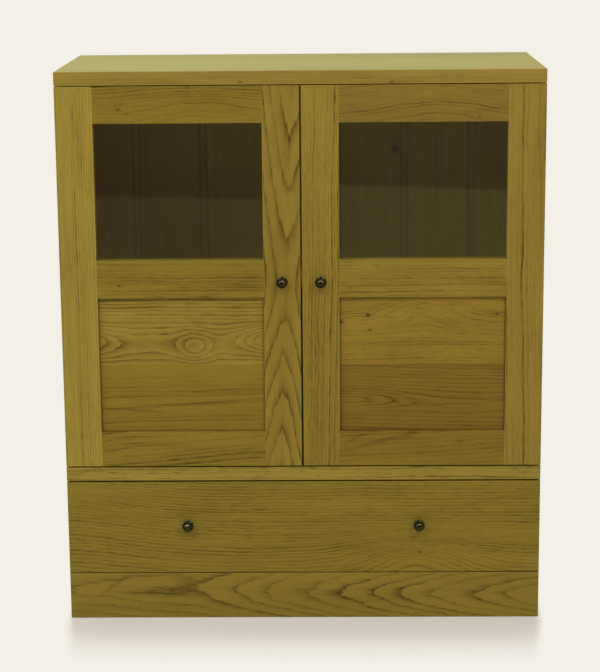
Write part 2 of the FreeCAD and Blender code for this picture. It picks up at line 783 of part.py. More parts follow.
def make_pivot_pins(hinge_stile):
    """A plain pin at the top, and at the bottom one with a collar that the door stands on."""
    hole = s.pivot_pin_radius + s.running_clearance
    spot = (s.pivot_inset, s.front_thickness - s.pivot_inset)
    depth = s.pivot_pin_grip + s.mortise_clearance
    drill(hinge_stile, hole, depth, *spot, door_height, (0, 0, -1))
    drill(hinge_stile, hole, depth, *spot, 0, (0, 0, 1))
    top_pin = body("left_door_pin_top", pivot_left, pivot_depth, door_top - s.pivot_pin_grip)
    top_length = s.pivot_pin_grip + s.door_gap_above + s.pivot_pin_reach
    rod(top_pin, s.pivot_pin_radius, top_length, 0, 0, 0, (0, 0, 1))
    low_reach = s.door_gap_below + s.pivot_pin_reach
    low_pin = body("left_door_pin_bottom", pivot_left, pivot_depth, door_bottom)
    rod(low_pin, s.pivot_pin_radius, s.pivot_pin_grip, 0, 0, 0, (0, 0, 1))
    rod(low_pin, s.pivot_collar_radius, s.door_gap_below - s.pivot_collar_gap, 0, 0, 0, (0, 0, -1))
    rod(low_pin, s.pivot_pin_radius, low_reach, 0, 0, 0, (0, 0, -1))
    return [top_pin, low_pin]


def make_doors(strike):
    """The left door piece by piece, then the right one as its mirror image."""
    hinge_stile = make_stile("left_door_hinge_stile", -half_width, "right")
    meeting_stile = make_stile("left_door_meeting_stile", meeting_stile_left, "left")
    knob_level = glass_bottom - s.door_knob_drop
    knob_hole = s.knob_screw_radius + s.running_clearance
    knob_across = s.stile_width / 2
    drill(meeting_stile, knob_hole, s.front_thickness, knob_across, 0, knob_level - door_bottom, (0, 1, 0))
    top_rail, middle_rail, bottom_rail = make_door_rails()
    tenon_spot = (door_opening_width + knob_across, 0, knob_level - panel_top)
    drill(middle_rail, knob_hole, s.front_thickness, *tenon_spot, (0, 1, 0))
    pane, beads = make_door_glazing()
    pieces = [
        hinge_stile,
        meeting_stile,
        top_rail,
        middle_rail,
        bottom_rail,
        *make_door_panel(),
        pane,
        make_knob("left_door_knob", meeting_stile_middle, knob_level),
        make_knob_screw("left_door_knob_screw", meeting_stile_middle, knob_level),
        strike,
    ]
    for piece in pieces:
        keep(piece)
        keep(mirrored(piece.Label.replace("left_door", "right_door"), piece))
    for label, members in (("glazing_beads", beads), ("pivot_pins", make_pivot_pins(hinge_stile))):
        group(f"left_door_{label}", members)
        twins = [mirrored(member.Label.replace("left_door", "right_door"), member) for member in members]
        group(f"right_door_{label}", twins)


def dovetail(middle, root, tip):
    """Section of a sliding dovetail, wide at its tip, seen from above."""
    half_root, half_tip = s.dovetail_root / 2, s.dovetail_tip / 2
    narrow = [(middle + half_root, root), (middle - half_root, root)]
    return [(middle - half_tip, tip), (middle + half_tip, tip), *narrow]


def make_drawer_front():
    face = keep(body("drawer_front", -half_width, front, drawer_front_bottom))
    block(face, s.cabinet_width, s.front_thickness, s.drawer_front_height)
    ease(face, s.edge_round, middle_at(y=0))
    housing_height = drawer_box_top - drawer_front_bottom
    side_axis = drawer_half_width - s.drawer_side_thickness / 2
    rear = s.front_thickness
    for middle in (half_width - side_axis, half_width + side_axis):
        section = dovetail(middle, rear, rear - s.dovetail_length)
        extrude(face, "XY_Plane", section, housing_height, cut=True, reverse=True)
    groove_place = (
        half_width - drawer_inner_half_width,
        rear - s.drawer_bottom_groove,
        drawer_bottom_level - drawer_front_bottom,
    )
    groove_size = (2 * drawer_inner_half_width, s.drawer_bottom_groove, s.drawer_bottom_thickness)
    block(face, *groove_size, *groove_place, cut=True)
    hole = s.knob_screw_radius + s.running_clearance
    for side in (-1, 1):
        x = half_width + side * s.drawer_knob_spacing / 2
        drill(face, hole, s.front_thickness, x, 0, s.drawer_knob_height, (0, 1, 0))


def make_drawer_knobs():
    level = drawer_front_bottom + s.drawer_knob_height
    spot = (-s.drawer_knob_spacing / 2, level)
    knob = keep(make_knob("drawer_knob_left", *spot))
    keep(mirrored("drawer_knob_right", knob))
    left = make_knob_screw("drawer_knob_screw", *spot)
    group("drawer_knob_screws", [left, mirrored("drawer_knob_screw_twin", left)])


def make_drawer_box():
    tongue_front = drawer_box_front - s.dovetail_length
    length = drawer_box_back - drawer_box_front
    whole_length = length + s.dovetail_length
    side = keep(body("drawer_side_left", -drawer_half_width, tongue_front, drawer_box_bottom))
    block(side, s.drawer_side_thickness, length, s.drawer_side_height, 0, s.dovetail_length)
    ease(side, s.edge_round, middle_at(y=s.dovetail_length + length / 2, z=s.drawer_side_height))
    tongue = dovetail(s.drawer_side_thickness / 2, s.dovetail_length, 0)
    extrude(side, "XY_Plane", tongue, s.drawer_side_height)
    groove_start = runner_front - s.runner_stop_slack - tongue_front
    groove_height = s.runner_height + 2 * s.runner_slack
    runner_place = (0, groove_start, s.runner_rise - s.runner_slack)
    block(side, runner_groove, whole_length - groove_start, groove_height, *runner_place, cut=True)
    groove_left = s.drawer_side_thickness - s.drawer_bottom_groove
    bottom_place = (groove_left, s.dovetail_length, s.drawer_bottom_rise)
    block(side, s.drawer_bottom_groove, length, s.drawer_bottom_thickness, *bottom_place, cut=True)
    above_bottom = s.drawer_bottom_rise + s.drawer_bottom_thickness
    housing_place = (
        s.drawer_side_thickness - s.drawer_back_housing,
        drawer_back_rear - s.drawer_back_thickness - tongue_front,
        above_bottom,
    )
    housing_height = s.drawer_side_height - above_bottom
    block(side, s.drawer_back_housing, s.drawer_back_thickness, housing_height, *housing_place, cut=True)
    keep(mirrored("drawer_side_right", side))
    back_half = drawer_inner_half_width + s.drawer_back_housing
    back_place = (-back_half, drawer_back_rear - s.drawer_back_thickness, drawer_box_bottom + above_bottom)
    rear = keep(body("drawer_back", *back_place))
    back_height = housing_height - s.drawer_back_drop
    block(rear, 2 * back_half, s.drawer_back_thickness, back_height)
    ease(rear, s.edge_round, middle_at(x=back_half, z=back_height))
    floor_half = drawer_inner_half_width + s.drawer_bottom_groove - s.drawer_bottom_clearance
    floor = keep(body("drawer_bottom", -floor_half, drawer_box_front, drawer_bottom_level))
    block(floor, 2 * floor_half, drawer_back_rear - drawer_box_front, s.drawer_bottom_thickness)
    lip_half = drawer_inner_half_width - s.drawer_bottom_clearance
    lip_depth = s.drawer_bottom_groove - s.drawer_bottom_clearance
    block(floor, 2 * lip_half, lip_depth, s.drawer_bottom_thickness, floor_half - lip_half, -lip_depth)


def check_and_write():
    """Stop at any failed feature or bad solid, then write one file per sub-part."""
    doc.recompute()
    failed = [thing.Label for thing in doc.Objects if {"Invalid", "Error"} & set(thing.State)]
    failed += [node.Label for node in nodes if node.Shape.isNull() or not node.Shape.isValid()]
    if failed:
        raise RuntimeError(f"failed: {sorted(set(failed))}")
    os.makedirs("parts", exist_ok=True)
    for node in nodes:
        node.Shape.exportStep(f"parts/{node.Label}.step")
    print(f"{len(nodes)} sub-parts written")


make_top_board()
make_sides()
make_mid_board()
make_bottom_board()
make_plinth()
make_back_boards()
make_shelf()
make_runners()
make_dowels()
make_wood_screws()
make_pivot_bushes()
make_doors(make_catches())
make_drawer_front()
make_drawer_knobs()
make_drawer_box()
check_and_write()
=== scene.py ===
import math
import random
from dataclasses import dataclass, fields, replace
from typing import NamedTuple

import bmesh
import bpy
from mathutils import Matrix, Vector


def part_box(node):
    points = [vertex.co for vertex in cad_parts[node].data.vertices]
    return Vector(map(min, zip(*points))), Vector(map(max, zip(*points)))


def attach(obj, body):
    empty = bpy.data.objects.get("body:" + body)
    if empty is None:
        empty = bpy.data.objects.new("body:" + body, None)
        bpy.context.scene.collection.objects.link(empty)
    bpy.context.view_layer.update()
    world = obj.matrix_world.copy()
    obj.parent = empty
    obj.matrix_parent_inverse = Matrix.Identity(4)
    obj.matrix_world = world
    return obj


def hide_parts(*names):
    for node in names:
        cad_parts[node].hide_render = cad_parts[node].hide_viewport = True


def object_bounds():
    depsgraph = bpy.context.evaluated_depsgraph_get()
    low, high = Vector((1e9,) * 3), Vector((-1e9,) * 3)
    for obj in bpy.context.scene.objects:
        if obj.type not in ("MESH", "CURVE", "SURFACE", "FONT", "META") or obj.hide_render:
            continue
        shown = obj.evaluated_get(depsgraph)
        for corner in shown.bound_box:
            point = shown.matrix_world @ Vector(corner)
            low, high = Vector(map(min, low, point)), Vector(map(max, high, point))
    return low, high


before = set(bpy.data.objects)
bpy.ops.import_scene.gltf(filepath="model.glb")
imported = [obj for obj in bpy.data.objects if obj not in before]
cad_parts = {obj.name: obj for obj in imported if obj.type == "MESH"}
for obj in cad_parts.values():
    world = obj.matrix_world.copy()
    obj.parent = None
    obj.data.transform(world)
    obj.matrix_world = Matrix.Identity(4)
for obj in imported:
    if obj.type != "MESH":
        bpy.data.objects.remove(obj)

# The finish, light and camera of an oak cabinet. Lengths are in metres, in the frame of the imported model.
CAD_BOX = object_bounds()
SCENE = bpy.context.scene
AXES = "xyz"
DOORS = ("left_door", "right_door")
STILES = ("hinge_stile", "meeting_stile")
PANELS = ("panel_upper", "panel_lower")
SIDES = ("left", "right")
BACK_BOARDS = tuple(f"back_board_{number}" for number in range(1, 8))

# The camera stands a little right of the middle and above the top, and looks slightly down.
CAMERA_PLACE = Vector((0.0614, -3.8473, 1.3552))
CAMERA_PITCH = math.radians(12.325)
CAMERA_YAW = math.radians(1.017)
CAMERA_ROLL = math.radians(-0.507)
CAMERA_LENS_MM = 107.27
SENSOR_MM = 36

# Colours are linear.
BACKGROUND = (0.905, 0.871, 0.799, 1)
FLOOR_COLOUR = (0.785, 0.755, 0.72)
SKY_TINT = (1, 0.985, 0.96, 1)
LAMP_TINT = (1, 0.985, 0.95)


class Field:
    """A number that varies over a surface. Arithmetic on it adds nodes to its shader."""

    def __init__(self, shader, socket):
        self.shader = shader
        self.socket = socket

    def __add__(self, other):
        return self.shader.math("ADD", self, other)

    __radd__ = __add__

    def __sub__(self, other):
        return self.shader.math("SUBTRACT", self, other)

    def __rsub__(self, other):
        return self.shader.math("SUBTRACT", other, self)

    def __mul__(self, other):
        return self.shader.math("MULTIPLY", self, other)

    def __truediv__(self, other):
        return self.shader.math("DIVIDE", self, other)

    def __rtruediv__(self, other):
        return self.shader.math("DIVIDE", other, self)

    def __pow__(self, other):
        return self.shader.math("POWER", self, other)

    def __abs__(self):
        return self.shader.math("ABSOLUTE", self)

    def root(self):
        return self.shader.math("SQRT", self)

    def whole(self):
        return self.shader.math("FLOOR", self)

    def fraction(self):
        return self.shader.math("FRACT", self)

    def exponential(self):
        return self.shader.math("EXPONENT", self)

    def at_least(self, other):
        return self.shader.math("MAXIMUM", self, other)

    def at_most(self, other):
        return self.shader.math("MINIMUM", self, other)

    def clipped(self):
        return self.at_least(0).at_most(1)

    def between(self, low, high):
        """Low where the number is 0, and high where it is 1."""
        return self * (high - low) + low

    def step(self, low, high):
        """A smooth step from 0 at low to 1 at high."""
        inputs = {"Value": self, "From Min": low, "From Max": high}
        node = self.shader.add("ShaderNodeMapRange", inputs, interpolation_type="SMOOTHSTEP")
        return Field(self.shader, node.outputs["Result"])


class Shader:
    """Adds nodes to one tree. What feeds an input is a number, a colour, a Field or another node's output."""

    def __init__(self, tree):
        self.tree = tree

    def feed(self, socket, given):
        source = given.socket if isinstance(given, Field) else given
        if isinstance(source, bpy.types.NodeSocket):
            self.tree.links.new(source, socket)
        else:
            socket.default_value = source

    def add(self, kind, inputs=None, **settings):
        node = self.tree.nodes.new(kind)
        for name, setting in settings.items():
            setattr(node, name, setting)
        for name, given in (inputs or {}).items():
            self.feed(node.inputs[name], given)
        return node

    def math(self, operation, *values):
        node = self.add("ShaderNodeMath", operation=operation)
        for socket, given in zip(node.inputs, values):
            self.feed(socket, given)
        return Field(self, node.outputs[0])

    def split(self, vector):
        node = self.add("ShaderNodeSeparateXYZ", {"Vector": vector})
        return [Field(self, output) for output in node.outputs]

    def vector(self, x, y, z):
        return self.add("ShaderNodeCombineXYZ", {"X": x, "Y": y, "Z": z}).outputs[0]

    def place(self):
        """Where a point of the surface is in the frame."""
        return self.split(self.add("ShaderNodeTexCoord").outputs["Object"])

    def waves(self, *scales):
        """The place counted in waves, so many per metre along each axis."""
        return self.vector(*(part * scale for part, scale in zip(self.place(), scales)))

    def noise(self, vector, detail=2, roughness=0.5):
        inputs = {"Vector": vector, "Scale": 1, "Detail": detail, "Roughness": roughness}
        return Field(self, self.add("ShaderNodeTexNoise", inputs).outputs["Fac"])

    def chance(self, number):
        """A random number from 0 to 1 for each number given."""
        node = self.add("ShaderNodeTexWhiteNoise", {"W": number}, noise_dimensions="1D")
        return Field(self, node.outputs["Value"])

    def bump(self, height, distance, strength):
        inputs = {"Height": height, "Distance": distance, "Strength": strength}
        return self.add("ShaderNodeBump", inputs).outputs[0]

    def mix(self, factor, first, second):
        """One colour where factor is 0, and the other where it is 1. The node's colours are at 6, 7 and 2."""
        node = self.add("ShaderNodeMix", {0: factor, 6: first, 7: second}, data_type="RGBA")
        return node.outputs[2]

    def scaled(self, colour, factor):
        """A colour made lighter or darker by a factor."""
        node = self.add("ShaderNodeVectorMath", {0: colour}, operation="SCALE")
        self.feed(node.inputs["Scale"], factor)
        return node.outputs[0]

    def either(self, factor, first, second):
        """One surface where factor is 0, and the other where it is 1."""
        surfaces = {0: factor, 1: first.outputs[0], 2: second.outputs[0]}
        return self.add("ShaderNodeMixShader", surfaces)


def new_material(name):
    material = bpy.data.materials.new(name)
    material.use_nodes = True
    material.node_tree.nodes.clear()
    return material, Shader(material.node_tree)


def finish_material(shader, surface):
    shader.add("ShaderNodeOutputMaterial", {"Surface": surface.outputs[0]})


def wear(node, material):
    """Give a node of the model its finish."""
    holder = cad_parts[node].data.materials
    holder.clear()
    holder.append(material)


# Wood: its kinds, and what is drawn on a board.
class Wood(NamedTuple):
    """A kind of wood and its finish. Dust is the weight of the sheen that lies on it."""

    light: tuple
    dark: tuple
    specular: float
    dust: float = 0.0


OAK = Wood(light=(0.285, 0.206, 0.0252), dark=(0.082, 0.050, 0.004), specular=0.14)
DUSTY_OAK = OAK._replace(specular=0.06, dust=0.21)
PALE = Wood(light=(0.56, 0.43, 0.24), dark=(0.34, 0.24, 0.11), specular=0.25)
ROUGH_PALE = PALE._replace(specular=0.2)
BEECH = Wood(light=(0.50, 0.34, 0.19), dark=(0.34, 0.21, 0.11), specular=0.25)

# The dark colour of knots, and of the painted shade and dirt in creases.
KNOT_AND_CREASE_COLOUR = (0.030, 0.018, 0.006, 1)
DUST_TINT = (0.50, 1.0, 0.17, 1)
DUST_ROUGHNESS = 0.35

# How a board lies: the axis along its grain, the one across it and the one into its face.
UPRIGHT = "zxy"
LEVEL = "xzy"
FLAT = "xyz"
SIDE_UPRIGHT = "zyx"
SIDE_LEVEL = "yzx"


class Eye(NamedTuple):
    """A spot that the rings bend around. The push is what it adds to the distance from the pith."""

    along: float
    across: float
    reach_along: float
    reach_across: float
    push: float


class Smear(NamedTuple):
    """A streak that darkens the wood, or lightens it if its strength is below 0. It can rise on its way."""

    along: float
    across: float
    reach_along: float
    reach_across: float
    rise: float
    strength: float


class Knot(NamedTuple):
    """A pin knot on the front of its board."""

    x: float
    z: float
    radius: float
    strength: float


class Crease(NamedTuple):
    """A line of painted shade and dirt in a corner of the visible face, at a place on one axis."""

    axis: str
    place: float
    half_width: float


@dataclass
class Grain:
    """How a board was cut from its trunk. The pith is the trunk's middle line. Its place is counted from
    the board's middle, and its depth from the side with the lowest coordinate, which is mostly the front."""

    pith_across: float = 0.0  # the pith's place across the board
    pith_depth: float = 0.07  # its depth
    lean: float = 0.0  # its way across the board for each metre along it
    bend: float = 0.0  # how much deeper it goes for each metre on both sides of its bend
    tilt: float = 0.0  # how much deeper it goes for each metre all along
    bend_at: float = 0.0  # the bend's place along the board
    bend_round: float = 0.04  # the bend's rounding
    point: float = 2.0  # 2 for round rings, less for pointed ones
    spread: float = 1.0  # how much wider than deep the rings are
    ring: float = 0.004  # the width of a ring
    teeth: float = 1.0  # how far the rings' arches are drawn out into teeth
    warp: float = 0.004  # how far the rings wander
    start: float = 0.0  # the share of a ring that all are shifted by
    edge: float = 2.0  # how fast a ring's dark band fades
    even: float = 0.0  # how alike the rings are, from 0 to 1
    contrast: float = 0.5  # how dark the rings are
    fleck: float = 0.2  # how dark the flecks are
    slope: float = 0.0  # how much darker the board gets for each metre along it
    stave: float = 10.0  # the width of the staves it is glued from, wider than the board for one only
    seed: float = 0.0  # picks the noise
    # tint: the board's own tone, and painted shade too: level boards are mostly set darker, as their grain
    # catches less light.
    tint: tuple = (1, 1, 1)
    eyes: tuple = ()
    knots: tuple = ()
    smears: tuple = ()
    creases: tuple = ()


# Inputs of the wood's node group: those that hold for a whole board, and those that vary over it.
GRAIN_NUMBERS = [part.name for part in fields(Grain) if part.type is float]
GRAIN_INPUTS = {name.replace("_", " ").capitalize(): name for name in GRAIN_NUMBERS}
DRAWN_INPUTS = ("Bulge", "Stain", "Rub and highlight")


class Streaks(NamedTuple):
    """Noise drawn out along the grain, in waves per metre along it and across it. It swings around 0, or goes
    from 0 to 1 between two levels."""

    along: float
    across: float
    detail: float = 2
    roughness: float = 0.5
    levels: tuple = ()


LONG_TEETH = Streaks(10, 150)
SHORT_TEETH = Streaks(24, 430, roughness=0.6)
WANDER = Streaks(4, 14)
RIPPLE = Streaks(28, 90)
LIVELY = Streaks(4, 26, levels=(0.30, 0.66))
DASHES = Streaks(34, 560, roughness=0.6, levels=(0.42, 0.66))
FIBRE = Streaks(9, 620, detail=3, roughness=0.65)
PORES = Streaks(110, 2100, detail=1, levels=(0.52, 0.68))
FLECKS = Streaks(38, 300, levels=(0.56, 0.70))
TONE = Streaks(2.2, 16)
PATCHES = Streaks(8, 70)

# How far the teeth reach along the grain, and how many times the warp the rings wander and ripple.
LONG_TOOTH = 0.030
SHORT_TOOTH = 0.022
WANDER_SHARE = 2
RIPPLE_SHARE = 0.7

# What sets one stave or one seed apart from the next: the draw, the noise, the pith and the rings.
STAVE_DRAW = 7.31
STAVE_SLIDE = 5
SEED_SLIDE = 3.7
STAVE_SHIFT = 0.013
STAVE_PITH = 0.02
STAVE_RINGS = 9

# Rings of uneven width, by waves for each ring that shift it. More rings are faint than strong.
UNEVEN_WAVES = 0.6
UNEVEN_SHIFT = 1.2
SEED_RINGS = 11
FAINTNESS = 1.5
RING_STRENGTHS = (0.2, 1.1)
RING_ONSET = 0.08

# Least and greatest factors by which other layers break up the rings, the pores and the smears.
LIVELY_RINGS = (0.5, 1.3)
DASHED_RINGS = (0.6, 1.3)
RINGED_PORES = (0.3, 1.0)
DASHED_STAIN = (0.7, 1.2)

# How far an edge is rubbed and lit with a painted highlight, on average over its patches.
RUB_AND_HIGHLIGHT_COVER = 0.75

# What each layer of the wood adds to its darkness, its roughness and its height. Rubbed edges get lighter:
# wear, and a painted highlight on the arrises.
BASE_DARKNESS = 0.06
DARKNESS = {
    "ragged": 1.7,
    "fibre": 0.52,
    "dashes": 0.05,
    "pores": 0.11,
    "flecks": 1.0,
    "tone": 0.5,
    "patches": 0.42,
    "luck": 0.14,
    "stain": 1.0,
    "slope": 1.0,
    "rub_and_highlight": -0.3,
}
BASE_ROUGHNESS = 0.38
ROUGHNESS = {"pores": 0.18, "fibre": 0.12, "early": 0.08, "rub_and_highlight": -0.08}
HEIGHT = {"fibre": 0.05, "pores": -0.12, "early": -0.05}


def add_up(layers, shares, base=0):
    """A base and the named layers, each times its share."""
    for name, share in shares.items():
        base = layers[name] * share + base
    return base


def make_wood_group():
    """Rings of a bent trunk cut by the board, with pores, fibres and flecks drawn out along the grain."""
    tree = bpy.data.node_groups.new("Wood", "ShaderNodeTree")
    sockets = tree.interface
    sockets.new_socket("Place", in_out="INPUT", socket_type="NodeSocketVector")
    for name in ("Light", "Dark"):
        sockets.new_socket(name, in_out="INPUT", socket_type="NodeSocketColor")
    for name in (*DRAWN_INPUTS, *GRAIN_INPUTS):
        sockets.new_socket(name, in_out="INPUT", socket_type="NodeSocketFloat")
    sockets.new_socket("Color", in_out="OUTPUT", socket_type="NodeSocketColor")
    for name in ("Roughness", "Height"):
        sockets.new_socket(name, in_out="OUTPUT", socket_type="NodeSocketFloat")

    shader = Shader(tree)
    given = shader.add("NodeGroupInput").outputs
    read = {name: Field(shader, given[name]) for name in (*DRAWN_INPUTS, *GRAIN_INPUTS)}
    along, whole_across, deep = shader.split(given["Place"])
    seed = read["Seed"]

    # Glued boards: each stave comes from another place in another trunk.
    stave = (whole_across / read["Stave"] + 0.5).whole()
    across = whole_across - stave * read["Stave"]
    luck = shader.chance(stave * STAVE_DRAW + seed)
    slide = luck * STAVE_SLIDE + seed * SEED_SLIDE
    shift = stave * STAVE_SHIFT

    def streaks(kind):
        sideways = (across + slide + shift) * kind.across
        place = shader.vector((along + slide) * kind.along, sideways, deep * kind.across)
        noise = shader.noise(place, kind.detail, kind.roughness)
        return noise.step(*kind.levels) if kind.levels else noise - 0.5

    # Distance from the pith, whose depth bends along the board. Vessels end in teeth where they cross a face.
    teeth = streaks(LONG_TEETH) * LONG_TOOTH + streaks(SHORT_TEETH) * SHORT_TOOTH
    past_bend = along + teeth * read["Teeth"] - read["Bend at"]
    bend_round = read["Bend round"]
    bow = (past_bend * past_bend + bend_round * bend_round).root() - bend_round
    inward = deep - read["Pith depth"] - read["Bend"] * bow - read["Tilt"] * past_bend
    sideways = across - read["Pith across"] - read["Lean"] * along + (luck - 0.5) * stave * STAVE_PITH
    point = read["Point"]
    from_pith = (abs(sideways / read["Spread"]) ** point + abs(inward) ** point) ** (1 / point)
    wander = streaks(WANDER) * WANDER_SHARE + streaks(RIPPLE) * RIPPLE_SHARE
    radius = from_pith + wander * read["Warp"] + read["Bulge"]

    # Each ring has a dark band of early wood that fades outward, of its own strength, broken up by vessels.
    rings = radius / read["Ring"] + luck * stave * STAVE_RINGS + read["Start"]
    uneven = shader.noise(shader.vector(rings * UNEVEN_WAVES, seed, stave), 1) - 0.5
    rings = rings + uneven * UNEVEN_SHIFT * (1 - read["Even"])
    phase = rings.fraction()
    chance = (shader.chance(rings.whole() + seed * SEED_RINGS) ** FAINTNESS).between(*RING_STRENGTHS)
    strength = chance + (1 - chance) * read["Even"]
    early = ((1 - phase) ** read["Edge"]) * phase.step(0.0, RING_ONSET) * strength
    dashes = streaks(DASHES)
    ragged = early * streaks(LIVELY).between(*LIVELY_RINGS) * dashes.between(*DASHED_RINGS)

    patches = streaks(PATCHES)
    layers = {
        "early": early,
        "ragged": ragged * read["Contrast"],
        "fibre": streaks(FIBRE),
        "dashes": dashes,
        "pores": streaks(PORES) * early.between(*RINGED_PORES),
        "flecks": streaks(FLECKS) * read["Fleck"],
        "tone": streaks(TONE),
        "patches": patches,
        "luck": luck - 0.5,
        "stain": read["Stain"] * dashes.between(*DASHED_STAIN),
        "slope": along * read["Slope"],
        # Rubbed edges: wear, and a painted highlight on the arrises.
        "rub_and_highlight": read["Rub and highlight"] * (patches + RUB_AND_HIGHLIGHT_COVER).clipped(),
    }
    darkness = add_up(layers, DARKNESS, BASE_DARKNESS)
    results = {
        "Color": shader.mix(darkness.clipped(), given["Light"], given["Dark"]),
        "Roughness": add_up(layers, ROUGHNESS, BASE_ROUGHNESS),
        "Height": add_up(layers, HEIGHT),
    }
    shader.add("NodeGroupOutput", results)
    return tree


WOOD_GROUP = make_wood_group()
WOOD_BUMP = {"distance": 0.001, "strength": 0.6}
# The width of the rubbed edges, which hold wear and a painted highlight.
RUB_AND_HIGHLIGHT_WIDTH = 0.0016

# Painted shade and dirt in a crease reach a little way into the board from its face. Like a knot, they cover
# most of the wood.
CREASED_DEPTH = 0.0052
CREASE_FADE = 0.001
CREASE_STRENGTH = 0.6
KNOT_AND_CREASE_COVER = 0.85

# A knot's distances count less along the grain. Its core has a soft rim and a halo, and it bends the rings.
KNOT_DRAWN_OUT = 0.4
KNOT_RIM = 0.6
HALO_REACH = 2.6
HALO_STRENGTH = 0.3
KNOT_BEND_REACH = 4


def bell(down, aside):
    """1 in the middle of a spot, and less all around it."""
    return ((down * down + aside * aside) * -1).exponential()


def eye_push(eye, along, across):
    down = (along - eye.along) / eye.reach_along
    aside = (across - eye.across) / eye.reach_across
    return bell(down, aside) * eye.push


def smear_stain(smear, along, across):
    down = along - smear.along
    aside = (across - smear.across - down * smear.rise) / smear.reach_across
    return bell(down / smear.reach_along, aside) * smear.strength


def knot_distance(knot, front, world, order):
    """How far a point is from a knot's middle, in radii of the knot."""
    middle = (knot.x, front, knot.z)
    down, aside, inward = (world[axis] - middle[axis] for axis in order)
    return (down * down * KNOT_DRAWN_OUT + aside * aside + inward * inward).root() / knot.radius


def knot_dirt(knot, away):
    halo = (1 - away / HALO_REACH).step(0.0, 1.0) * HALO_STRENGTH
    return ((1 - away).step(0.0, KNOT_RIM) + halo) * knot.strength


def knot_push(knot, away):
    return (1 - away / KNOT_BEND_REACH).step(0.0, 1.0) * knot.radius


# Painted shade and dirt along a crease: a dark line beside its place, near the board's face.
def crease_shade_and_dirt(crease, world, from_face):
    beside = abs(world[AXES.index(crease.axis)] - crease.place)
    near_face = 1 - from_face.step(CREASED_DEPTH, CREASED_DEPTH + CREASE_FADE)
    return (1 - beside / crease.half_width).clipped() * near_face * CREASE_STRENGTH


def edge_rub_and_highlight(local, half):
    """1 on rubbed edges, worn and given a painted highlight. The middle one of the three distances to the
    faces is the one to an edge.
    """
    first, second, third = (half[axis] - abs(local[axis]) for axis in range(3))
    to_edge = first.at_most(second).at_least(first.at_least(second).at_most(third))
    return 1 - to_edge.step(0.0, RUB_AND_HIGHLIGHT_WIDTH)


def tinted(colour, tint):
    return (*(part * share for part, share in zip(colour, tint)), 1)


def wood_material(node, lie, wood, grain):
    """Wood for one piece, with its eyes, knots, smears and creases."""
    low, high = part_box(node)
    middle = (low + high) / 2
    half = (high - low) / 2
    order = [AXES.index(axis) for axis in lie]
    material, shader = new_material(f"wood_{node}")
    world = shader.place()
    local = [world[axis] - middle[axis] for axis in range(3)]
    along, across, deep = (local[axis] for axis in order)
    from_face = deep + half[order[2]]

    spot = (world[order[0]], world[order[1]])
    knots = [(knot, knot_distance(knot, low.y, world, order)) for knot in grain.knots]
    pushes = [eye_push(eye, *spot) for eye in grain.eyes] + [knot_push(*knot) for knot in knots]
    stains = [smear_stain(smear, *spot) for smear in grain.smears]
    knots_and_crease_shade = [knot_dirt(*knot) for knot in knots]
    knots_and_crease_shade += [crease_shade_and_dirt(crease, world, from_face) for crease in grain.creases]

    inputs = {
        "Place": shader.vector(along, across, from_face),
        "Light": tinted(wood.light, grain.tint),
        "Dark": tinted(wood.dark, grain.tint),
        "Bulge": sum(pushes),
        "Stain": sum(stains),
        "Rub and highlight": edge_rub_and_highlight(local, half),
    }
    inputs.update((name, getattr(grain, field)) for name, field in GRAIN_INPUTS.items())
    group = shader.add("ShaderNodeGroup", inputs, node_tree=WOOD_GROUP).outputs
    colour = group["Color"]
    # Knots, and the painted shade and dirt in creases, mix in their dark colour.
    if knots_and_crease_shade:
        colour = shader.mix(sum(knots_and_crease_shade).clipped() * KNOT_AND_CREASE_COVER, colour, KNOT_AND_CREASE_COLOUR)
    principled = shader.add(
        "ShaderNodeBsdfPrincipled",
        {
            "Base Color": colour,
            "Roughness": group["Roughness"],
            "Specular IOR Level": wood.specular,
            "Sheen Weight": wood.dust,
            "Sheen Roughness": DUST_ROUGHNESS,
            "Sheen Tint": DUST_TINT,
            "Normal": shader.bump(group["Height"], **WOOD_BUMP),
        },
    )
    finish_material(shader, principled)
    wear(node, material)


